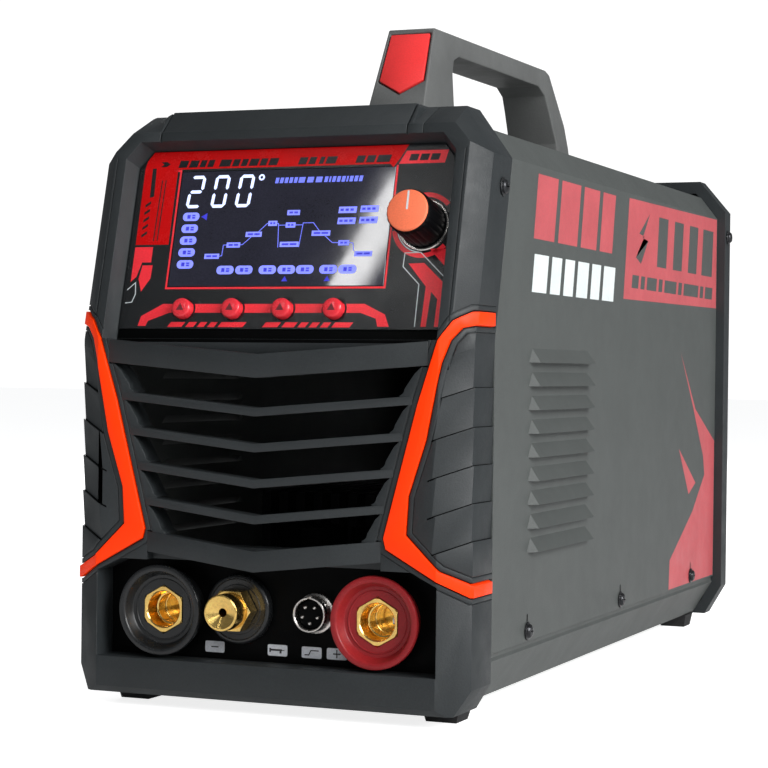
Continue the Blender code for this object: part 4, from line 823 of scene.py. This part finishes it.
def overlay_print():
    """Red, coral, black and white inks of the overlay."""
    around_screen = stroke(millimetres([(-60.0, 34.9), (-56.6, 34.9), (-56.6, -21.1), (50.6, -21.1),
                                        (50.6, 34.9)]), 0.0009)
    header = [millimetres([(-71.5, 44.2), (-74.6, 40.0), (-75.4, 36.0), (-75.2, -0.4), (-58.3, -0.4),
                           (-58.3, 34.4), (-57.4, 35.6), (46.8, 35.6), (48.6, 34.0), (51.4, 38.0),
                           (54.9, 44.2)]),
              millimetres([(-71.6, 36.4), (-69.5, 36.4), (-69.0, 22.8), (-71.2, 22.2)]),
              *[millimetres([(-72.9, y), (-70.1, y + 1.9), (-70.1, y + 3.3), (-72.9, y + 1.4)])
                for y in (3.0, 6.6, 10.2, 13.8, 17.4)],
              millimetres([(-66.6, 1.4), (-66.0, 1.4), (-65.4, 30.6), (-66.0, 30.6)]),
              millimetres([(-64.7, 1.4), (-64.1, 1.4), (-63.5, 30.6), (-64.1, 30.6)])]
    printed("overlay_red_band", [header], PRINT_RED, PANEL)
    stripe = millimetres([(-68.6, -38.8), (-67.4, -34.2), (-57.0, -28.5), (42.0, -28.5), (52.1, -33.3),
                          (54.5, -38.8), (49.1, -38.8), (48.0, -35.2), (40.6, -32.6), (-53.2, -32.6),
                          (-63.6, -36.4), (-64.6, -38.8)])
    tag = millimetres([(51.0, 35.4), (72.6, 35.4), (74.0, 41.4), (54.2, 41.4)])
    low_marks = [millimetres([(-75.2, -1.5), (-66.0, -1.5), (-66.0, -8.8), (-70.6, -8.8), (-72.6, -15.6),
                              (-75.2, -18.0)]),
                 millimetres([(-70.2, -10.2), (-65.0, -10.2), (-65.2, -16.4), (-69.2, -22.6),
                              (-71.3, -16.6)])]
    hashes = [rectangle(x / 1000, -0.0392, (x + width) / 1000, -0.0369, 0.0017)
              for x, width in ((-53.4, 7.2), (-44.2, 4.0), (-38.4, 3.4), (-33.2, 3.4), (-28.0, 12.4), (-6.0, 7.4),
                               (3.4, 6.0), (11.2, 3.6), (16.6, 3.6), (22.0, 3.6), (27.4, 8.6))]
    brace = [millimetres([(60.6, -10.4), (67.9, -10.2), (77.7, -19.1), (77.7, -38.8), (75.3, -38.8),
                          (75.6, -26.5),
                          (72.4, -23.1), (71.6, -38.8), (69.2, -38.8), (69.7, -20.8)]),
             millimetres([(69.6, -3.8), (77.4, -3.9), (77.4, -11.6)])]
    ring = [arc(KNOB, 0.0149, 42, 150, 30) + arc(KNOB, 0.0128, 150, 42, 30),
            arc(KNOB, 0.0149, 190, 318, 30) + arc(KNOB, 0.0128, 318, 190, 30)]
    printed("overlay_coral_print", [stripe, tag, *low_marks, *hashes, *brace, *ring, around_screen],
            PRINT_PINK, PANEL)
    rings = [[arc(at, radius, 0, 348, 30) for radius in (0.0060, 0.0051)] for at in BUTTONS]
    printed("overlay_button_rings", rings, PRINT_DARK, PANEL, PRINT)
    marks = [rectangle(x / 1000, 0.0364, (x + width) / 1000, 0.0398, 0.0010)
             for x, width in ((-58.4, 4.4), (-53.0, 4.4), (-47.6, 3.0), (-43.6, 3.0), (-37.6, 5.6), (-31.0, 3.4),
                              (-26.6, 3.0), (-22.6, 4.4), (-17.2, 3.4), (-12.8, 4.4), (2.0, 4.0), (7.0, 3.4),
                              (12.2, 2.2), (15.4, 5.0), (30.0, 4.0), (35.0, 4.0), (40.0, 6.4))]
    marks += [rectangle(x, 0.0368, x + 0.0040, 0.0398, 0.0008) for x in (0.0556, 0.0606, 0.0656)]
    marks.append(millimetres([(-67.4, 37.0), (-64.4, 37.0), (-62.6, 38.2), (-64.4, 39.4), (-67.4, 39.4),
                              (-65.8, 38.2)]))
    printed("overlay_dark_marks", marks, PRINT_DARK, PANEL, PRINT)
    whites = [stroke(millimetres([(77.4, -16.2), (65.8, -5.4), (58.4, -5.6), (58.2, -11.8), (66.4, -19.8),
                                  (66.4, -38.8)]), 0.0004),
              stroke(millimetres([(-76.4, -21.8), (-72.6, -18.4), (-71.9, -23.8), (-73.2, -27.6),
                                  (-76.6, -28.0)]), 0.0004),
              arc(KNOB, 0.0126, 150, 265, 30) + arc(KNOB, 0.0121, 265, 150, 30)]
    printed("overlay_white_lines", whites, PRINT_WHITE, PANEL, PRINT)


screen()
panel_sill()
overlay_print()


def knob():
    """Fluted black knob with an orange disc and a white pointer, on its own body."""
    flutes, rings = 22, []
    for radius_scale, height in ((1.0, 0.0013), (1.0, 0.0175), (0.985, 0.0192), (0.955, 0.0200)):
        loop = []
        for k in range(flutes * 6):
            angle = math.tau * k / (flutes * 6)
            ripple = 0.00032 * abs(math.sin(angle * flutes / 2)) ** 0.6
            radius = (0.00985 + ripple) * radius_scale
            loop.append((radius * math.cos(angle), radius * math.sin(angle), height))
        rings.append(loop)
    bm = bmesh.new()
    made = [[bm.verts.new((KNOB[0] + x, KNOB[1] + y, z)) for x, y, z in loop] for loop in rings]
    for first, second in zip(made, made[1:]):
        for k in range(len(first)):
            after = (k + 1) % len(first)
            bm.faces.new((first[k], first[after], second[after], second[k]))
    bm.faces.new(made[0][::-1])
    bm.faces.new(made[-1])
    bm.transform(PANEL)
    add("knob_body", bm, KNOB_BLACK, "knob", ["control_knob"], 40)
    disc = lathe([(0, 21.2), (8.4, 21.2), (9, 20.95), (9.3, 20.4), (9.3, 19.95), (0, 19.95)],
                 64, False, KNOB, PANEL)
    add("knob_disc", disc, KNOB_ORANGE, "knob", ["knob_cap"])
    x, y = KNOB
    pointer = outline([pill(x - 0.00045, y + 0.0002, x + 0.00045, y + 0.0086, 0.0002)],
                      0.02119, 0.02124, PANEL)
    add("knob_pointer", pointer, PRINT_WHITE, body="knob")
    skirt = lathe([(10.8, 0), (11.8, 0), (11.8, 0.5), (11.4, 0.9), (10.8, 0.9)], 64, True, KNOB, PANEL)
    add("knob_base_ring", skirt, NICKEL)


def buttons():
    for index, at in enumerate(BUTTONS):
        number = index + 1
        shape = lathe([(0, 3.7), (2.6, 3.65), (3.8, 3.5), (4.3, 3.2), (4.6, 2.5),
                       (4.6, -4.7), (5.8, -4.7), (5.8, -5.7), (0, -6)], 40, False, at, PANEL)
        add(f"button_cap_{number}", shape, KEY_RED, f"key_{number}", [f"button_{number}"], 40)
        mark = [(at[0] + x, at[1] + y) for x, y in ((-0.0019, -0.0013), (0.0019, -0.0013), (0, 0.0019))]
        printed(f"button_mark_{number}", [mark], BUTTON_MARK, PANEL, lift=0.00371, body=f"key_{number}")


knob()
buttons()


# ---------------------------------------------------------------- sockets
def hexagon_at(at, radius, turn):
    corners = [turn + math.tau * k / 6 for k in range(6)]
    return [(at[0] + radius * math.cos(angle), at[1] + radius * math.sin(angle)) for angle in corners]


def sockets():
    upright = math.radians(30)
    for side, x in SOCKETS.items():
        at = (x, SOCKET_HEIGHT)
        dish = lathe([(0, 7), (13.2, 7), (13.4, 7.3), (13.7, 7.3), (13.9, 7),
                      (15.3, 7.1), (15.8, 7.6), (17.1, 11.2), (17.5, 11.8), (18, 12),
                      (19.5, 12), (20.1, 11.8), (20.3, 11.3), (20.3, 9.7), (20, 9.3),
                      (18, 7.5), (17.6, 6.8), (17.4, 0.3), (13.9, 0.3), (13.9, -16),
                      (0, -16)], 96, False, at)
        dish = combine(dish, [outline([hexagon_at(at, 0.0111, upright)], -0.03, 0.03)])
        dish.transform(FRONT)
        mat, slot = (SOCKET_RED, "socket_red") if side == "positive" else (SOCKET_BLACK, "socket_black")
        add(f"{side}_socket_cup", dish, mat, replaces=[f"{side}_socket_flange"], angle=35)
        chamfer = lathe([(0, 7.5), (10.1, 7.5), (10.9, 6.8), (10.9, -15), (0, -15)], 64,
                        False, at)
        nut = combine(outline([hexagon_at(at, 0.0108, upright)], -0.0150, 0.0075), [chamfer], "INTERSECT")
        barrel = lathe([(0, 3), (9.8, 3), (9.8, -23), (0, -23)], 48, False, at)
        bore = lathe([(0, 10), (8.6, 10), (8.5, 7.5), (8, 7), (7.9, 1),
                      (7.4, -0.4), (6.7, -0.6), (6.7, -6), (7.1, -6.2),
                      (7.1, -8), (6.7, -8.2), (6.7, -12), (0, -12)], 64, False, at)
        nut = combine(combine(nut, [barrel], "UNION"), [bore])
        nut.transform(FRONT)
        add(f"{side}_socket_nut", nut, BRASS, replaces=[f"{side}_socket_contact"], angle=25)
        key = outline([pill(x + 0.0036, SOCKET_HEIGHT - 0.0018, x + 0.0069, SOCKET_HEIGHT + 0.0018, 0.0010)],
                      -0.0115, -0.0010, FRONT)
        add(f"{side}_socket_key", soften(key, 0.0006, 3), STEEL)


def torch_socket():
    flange = lathe([(15.6, 0.3), (15.6, 3.4), (15.3, 4.2), (14.6, 4.6), (13.8, 4.6),
                    (13.4, 4.1), (11.2, 4), (11, 4.3), (6.3, 4.3), (6.3, -16),
                    (9, -16), (9, 0.3)], 80, True, TORCH, FRONT)
    add("torch_flange_ring", flange, SOCKET_BLACK, replaces=["torch_connector_flange"],
        angle=40)
    chamfer = lathe([(0, 12.5), (9, 12.5), (10.2, 11.7), (10.2, 4.9), (0, 4.9)], 64, False, TORCH)
    nut = combine(outline([hexagon_at(TORCH, 0.0101, 0)], 0.0049, 0.0125), [chamfer], "INTERSECT")
    stem = lathe([(0, 21.2), (7.4, 21.2), (7.9, 20.9), (8.1, 20.3), (8.1, 13.6),
                  (7.8, 13.1), (7.8, 11), (6, 11), (6, -22), (0, -22)],
                 72, False, TORCH)
    mouth = lathe([(0, 30), (7.1, 30), (7, 21.2), (1.9, 18.8), (1.8, -30), (0, -30)],
                  64, False, TORCH)
    nut = combine(combine(nut, [stem], "UNION"), [mouth])
    nut.transform(FRONT)
    add("torch_nipple", nut, BRASS, replaces=["torch_connector_fitting"], angle=25)


def control_plug():
    shell = lathe([(7, 9.2), (7.5, 9.2), (7.8, 8.8), (7.8, 6.2), (7.6, 6),
                   (7.6, 5.6), (7.8, 5.4), (7.8, 2.6), (8.8, 2.2), (9, 1.6),
                   (9, 0.3), (7.3, 0.3), (7.3, -13), (6.7, -13), (6.7, 8.8)],
                  72, True, PLUG, FRONT)
    notch = outline([rectangle(PLUG[0] - 0.0008, PLUG[1] + 0.0060, PLUG[0] + 0.0008, PLUG[1] + 0.0090)],
                    0.0066, 0.0100, FRONT)
    add("plug_shell", combine(shell, [notch]), NICKEL, replaces=["control_connector_shell"])
    face = lathe([(0, 6.2), (6, 6.2), (6.4, 5.8), (6.4, -12), (0, -12)], 48, False, PLUG, FRONT)
    add("plug_insert", face, BLACK, replaces=["control_connector_insert"])
    pins = []
    for k in range(5):
        angle = math.tau * k / 5 - math.pi / 2
        at = (PLUG[0] + 0.0038 * math.cos(angle), PLUG[1] + 0.0038 * math.sin(angle))
        pins.append(lathe([(0, 8.6), (0.5, 8.5), (0.8, 8), (0.8, 5), (0, 5)], 16,
                          False, at, FRONT))
    add("plug_pins", merge(*pins), NICKEL)


def socket_labels():
    plates, marks = [], []
    for x, y in ((-0.0296, 0.0277), (0.0014, 0.0279), (0.0180, 0.0279), (0.0301, 0.0280)):
        plates.append(pill(x - 0.0048, y - 0.0025, x + 0.0048, y + 0.0025, 0.0008))
    marks.append(rectangle(-0.0314, 0.0274, -0.0278, 0.0279))
    marks += [rectangle(0.0283, 0.0277, 0.0319, 0.0283), rectangle(0.0298, 0.0262, 0.0304, 0.0298)]
    marks += [rectangle(-0.0018, 0.0276, 0.0036, 0.0285), rectangle(0.0024, 0.0266, 0.0034, 0.0276),
              rectangle(0.0036, 0.0279, 0.0048, 0.0282), rectangle(-0.0026, 0.0270, -0.0018, 0.0288)]
    marks.append(stroke([(0.0146, 0.0268), (0.0166, 0.0268), (0.0176, 0.0288), (0.0214, 0.0288)], 0.0005))
    printed("socket_labels", plates, LABEL, FRONT)
    printed("socket_label_marks", marks, PRINT_DARK, FRONT, lift=PRINT)


sockets()
torch_socket()
control_plug()
socket_labels()


# ---------------------------------------------------------------- side graphics
def slanted(x, low, high, widths, gap, slant):
    """A row of leaning bars, in millimetres, from x on."""
    bars = []
    for width in widths:
        bars.append(millimetres([(x, low), (x + width, low), (x + width + slant, high), (x + slant, high)]))
        x += width + gap
    return bars


def side_graphics(side, matrix):
    """Generic blocks and slanted shards in the places of the printed side panel."""
    printed("side_bars_red_" + side, slanted(-151.0, 213.5, 243.5, (30.0, 30.0, 26.0, 22.0), 6.0, 6.0),
            SIDE_RED, matrix, lift=HALF_WIDTH)
    printed("side_bars_white_" + side,
            slanted(-153.0, 189.0, 206.5, (21.0, 15.0, 15.0, 18.0, 15.0, 20.0), 5.4, 3.6),
            SIDE_WHITE, matrix, lift=HALF_WIDTH)
    bolt = millimetres([(30, 211), (44, 224), (33, 225), (47, 239), (26, 227), (36, 226), (20, 214)])
    plate = [millimetres([(-3.0, 191.2), (199.4, 192.6), (199.4, 246.4), (6.4, 244.4)]), bolt]
    plate += slanted(62, 211, 238.5, (20, 20, 20), 14, 4)
    plate.append(millimetres([(162, 211), (188, 211), (191, 238.5), (166, 238.5)]))
    plate += slanted(12.0, 197.5, 204.5, (13, 8, 20, 8, 26, 8, 34, 8, 18), 4.2, 1.6)
    shards = [millimetres([(117.2, 164.3), (152.0, 132.0), (199.4, 112.0), (199.4, 30.6), (96.0, 30.6),
                           (97.5, 47.0), (148.0, 72.0), (176.0, 92.5), (172.0, 104.0), (146.0, 134.0)]),
              millimetres([(115.3, 109.5), (154.3, 88.5), (138.5, 82.5)])]
    printed("side_plate_red_" + side, [plate, *shards], SIDE_RED, matrix, lift=HALF_WIDTH)


side_graphics("right", SIDE)
side_graphics("left", LEFT_SIDE)


# ---------------------------------------------------------------- handle
HANDLE_OUTER = ((-0.0960, 0.2604), (-0.0850, 0.2880), (-0.0665, 0.3265), (0.1140, 0.3292),
                (0.1210, 0.3275), (0.1460, 0.3000), (0.1520, 0.2870), (0.1580, 0.2604))
HANDLE_INNER = ((-0.0430, 0.2500), (-0.0430, 0.3065), (-0.0400, 0.3135), (-0.0320, 0.3163),
                (0.1000, 0.3182), (0.1110, 0.3140), (0.1170, 0.3060), (0.1290, 0.2878), (0.1370, 0.2500))
INSERT_OUTLINE = ((0.0, -0.0178), (0.0118, -0.0105), (0.0105, 0.0172), (-0.0105, 0.0172), (-0.0118, -0.0105))


def handle():
    bar = outline([HANDLE_OUTER], -0.0165, 0.0165, SIDE)
    flanks = [plane_through((0.0165 * sign, 0, 0.2620), (0.0126 * sign, 0, 0.3265),
                            (0.0126 * sign, 1, 0.3265), (sign, 0, 0)) for sign in (1, -1)]
    trim_by_faces(bar, flanks)
    bmesh.ops.recalc_face_normals(bar, faces=bar.faces)
    low, high = Vector((0, -0.0850, 0.2880)), Vector((0, -0.0665, 0.3265))
    up = (high - low).normalized()
    front = Matrix.Translation(low + (high - low) * 0.52) @ Matrix.Rotation(math.atan2(up.z, up.y), 4, "X")
    bar = combine(bar, [outline([HANDLE_INNER], -0.03, 0.03, SIDE),
                        outline([grown(INSERT_OUTLINE, 0.0008)], -0.0023, 0.0060, front)])
    add("handle_bar", soften(bar, 0.0010, 3, 20), HANDLE_GREY, replaces=["handle"])
    badge = soften(outline([INSERT_OUTLINE], -0.0020, 0.0004, front), 0.0004, 2)
    add("handle_badge", badge, INSERT_RED, replaces=["handle_insert"])


handle()


# ---------------------------------------------------------------- screws
def screws():
    sites = []
    for sign, side in ((1, "right"), (-1, "left")):
        sites.append(("front_" + side, (HALF_WIDTH * sign, -0.1945, 0.2334), sign, False))
        for y, place in ((-0.1537, "fore"), (-0.0021, "mid"), (0.1446, "aft")):
            sites.append((f"{place}_{side}", (HALF_WIDTH * sign, y, 0.0346), sign, True))
        sites.append(("rear_" + side, (0.100 * sign, 0.2070, 0.2360), sign, False))
    for name, at, sign, shaded_keyhole in sites:
        place = Matrix.Translation(at) @ Matrix.Rotation(math.pi / 2 * sign, 4, "Y")
        head = lathe([(0, 2.6), (1.4, 2.6), (2.6, 2.3), (3.2, 1.6), (3.3, 0.9),
                      (4.2, 0.7), (4.2, 0.3), (1.5, 0.3), (1.5, -6.5), (0, -6.5)], 36, False)
        slots = [box((-0.0017, -0.0003, 0.0012), (0.0017, 0.0003, 0.004)),
                 box((-0.0003, -0.0017, 0.0012), (0.0003, 0.0017, 0.004))]
        head = combine(head, slots)
        head.transform(place)
        add("case_screw_" + name, head, BLACK_STEEL, replaces=["screw_" + name])
        # Painted shade: a black slot printed on the cover for the dark inside of the keyhole opening.
        if shaded_keyhole:
            slot = pill(at[1] - 0.0009, at[2] + 0.0040, at[1] + 0.0009, at[2] + 0.0078, 0.0009)
            printed("keyhole_shade_" + name, [slot], BLACK, SIDE if sign > 0 else LEFT_SIDE, lift=HALF_WIDTH)


screws()


# ---------------------------------------------------------------- kept CAD nodes
def keep_nodes():
    """CAD nodes whose shape is right get their slot's finish."""
    slots = {part["node"]: part["material_slot"] for part in frame["record"]["subparts"]}
    for name, ob in NODES.items():
        if ob.hide_render:
            continue
        ob.data.materials.clear()
        ob.data.materials.append(LOOKS[slots[name]])


keep_nodes()


# ---------------------------------------------------------------- stage
def floor():
    mat = bpy.data.materials.new("studio_floor")
    mat.use_nodes = True
    shader = mat.node_tree.nodes["Principled BSDF"]
    shader.inputs["Base Color"].default_value = (0.93, 0.93, 0.93, 1)
    shader.inputs["Roughness"].default_value = 0.9
    shader.inputs["Specular IOR Level"].default_value = 0.1
    nodes, link = mat.node_tree.nodes, mat.node_tree.links.new
    glow = nodes.new("ShaderNodeEmission")
    share = nodes.new("ShaderNodeMapRange")
    share.inputs["To Min"].default_value = 0.10
    share.inputs["To Max"].default_value = 0.82
    total = nodes.new("ShaderNodeAddShader")
    link(nodes.new("ShaderNodeLightPath").outputs["Is Camera Ray"], share.inputs["Value"])
    link(share.outputs["Result"], glow.inputs["Strength"])
    link(shader.outputs["BSDF"], total.inputs[0])
    link(glow.outputs["Emission"], total.inputs[1])
    link(total.outputs["Shader"], nodes["Material Output"].inputs["Surface"])
    bm = bmesh.new()
    bmesh.ops.create_grid(bm, x_segments=1, y_segments=1, size=12.0,
                          matrix=Matrix.Translation((0, 0, -0.0002)))
    mesh = bpy.data.meshes.new("studio_floor")
    bm.to_mesh(mesh)
    bm.free()
    mesh.materials.append(mat)
    ob = bpy.data.objects.new("studio_floor", mesh)
    bpy.context.scene.collection.objects.link(ob)


def area_light(name, at, target, width, height, power, lean=0.0):
    light = bpy.data.lights.new(name, "AREA")
    light.shape = "RECTANGLE"
    light.size = width
    light.size_y = height
    light.energy = power
    ob = bpy.data.objects.new(name, light)
    bpy.context.scene.collection.objects.link(ob)
    ob.location = at
    turn = (Vector(target) - Vector(at)).to_track_quat("-Z", "Y").to_matrix().to_4x4()
    ob.rotation_euler = (turn @ Matrix.Rotation(math.radians(lean), 4, "Z")).to_euler()


def world(strength):
    made = bpy.data.worlds.new("studio")
    bpy.context.scene.world = made
    made.use_nodes = True
    nodes, link = made.node_tree.nodes, made.node_tree.links.new
    light = nodes["Background"]
    light.inputs["Color"].default_value = (0.92, 0.96, 1, 1)
    light.inputs["Strength"].default_value = strength
    backdrop = nodes.new("ShaderNodeBackground")
    backdrop.inputs["Color"].default_value = (1, 1, 1, 1)
    backdrop.inputs["Strength"].default_value = 1.1
    choose = nodes.new("ShaderNodeMixShader")
    link(nodes.new("ShaderNodeLightPath").outputs["Is Camera Ray"], choose.inputs["Fac"])
    link(light.outputs["Background"], choose.inputs[1])
    link(backdrop.outputs["Background"], choose.inputs[2])
    link(choose.outputs["Shader"], nodes["World Output"].inputs["Surface"])


def camera():
    yaw, pitch, roll = math.radians(22.4604), math.radians(-0.3656), math.radians(0.6878)
    forward = Vector((-math.sin(yaw) * math.cos(pitch), math.cos(yaw) * math.cos(pitch), math.sin(pitch)))
    right = Vector((math.cos(yaw), math.sin(yaw), 0))
    up = right.cross(forward)
    x_axis = right * math.cos(roll) + up * math.sin(roll)
    y_axis = up * math.cos(roll) - right * math.sin(roll)
    data = bpy.data.cameras.new("camera")
    data.sensor_width = 36.0
    data.lens = 99.42
    data.clip_start = 0.05
    data.clip_end = 60.0
    ob = bpy.data.objects.new("camera", data)
    bpy.context.scene.collection.objects.link(ob)
    turn = Matrix((x_axis, y_axis, -forward)).transposed().to_4x4()
    ob.matrix_world = Matrix.Translation((0.4022, -1.0708, 0.1524)) @ turn
    bpy.context.scene.camera = ob


floor()
world(0.16)
area_light("key", (2.00, -0.95, 1.10), (0, 0, 0.15), 1.1, 1.1, 58)
area_light("front", (0.95, -2.20, 1.30), (0, -0.1, 0.15), 0.9, 0.9, 11)
area_light("top", (0.1, 0.5, 2.2), (0, 0, 0.2), 1.2, 1.2, 3)
area_light("rear", (-1.10, 2.20, 0.90), (0, 0, 0.15), 0.9, 0.9, 20)
area_light("strip", (-0.538, -1.392, 0.945), (0.045, -0.215, 0.215), 0.036, 0.150, 0.27, lean=-17)
camera()
bpy.context.scene.view_settings.view_transform = "Standard"
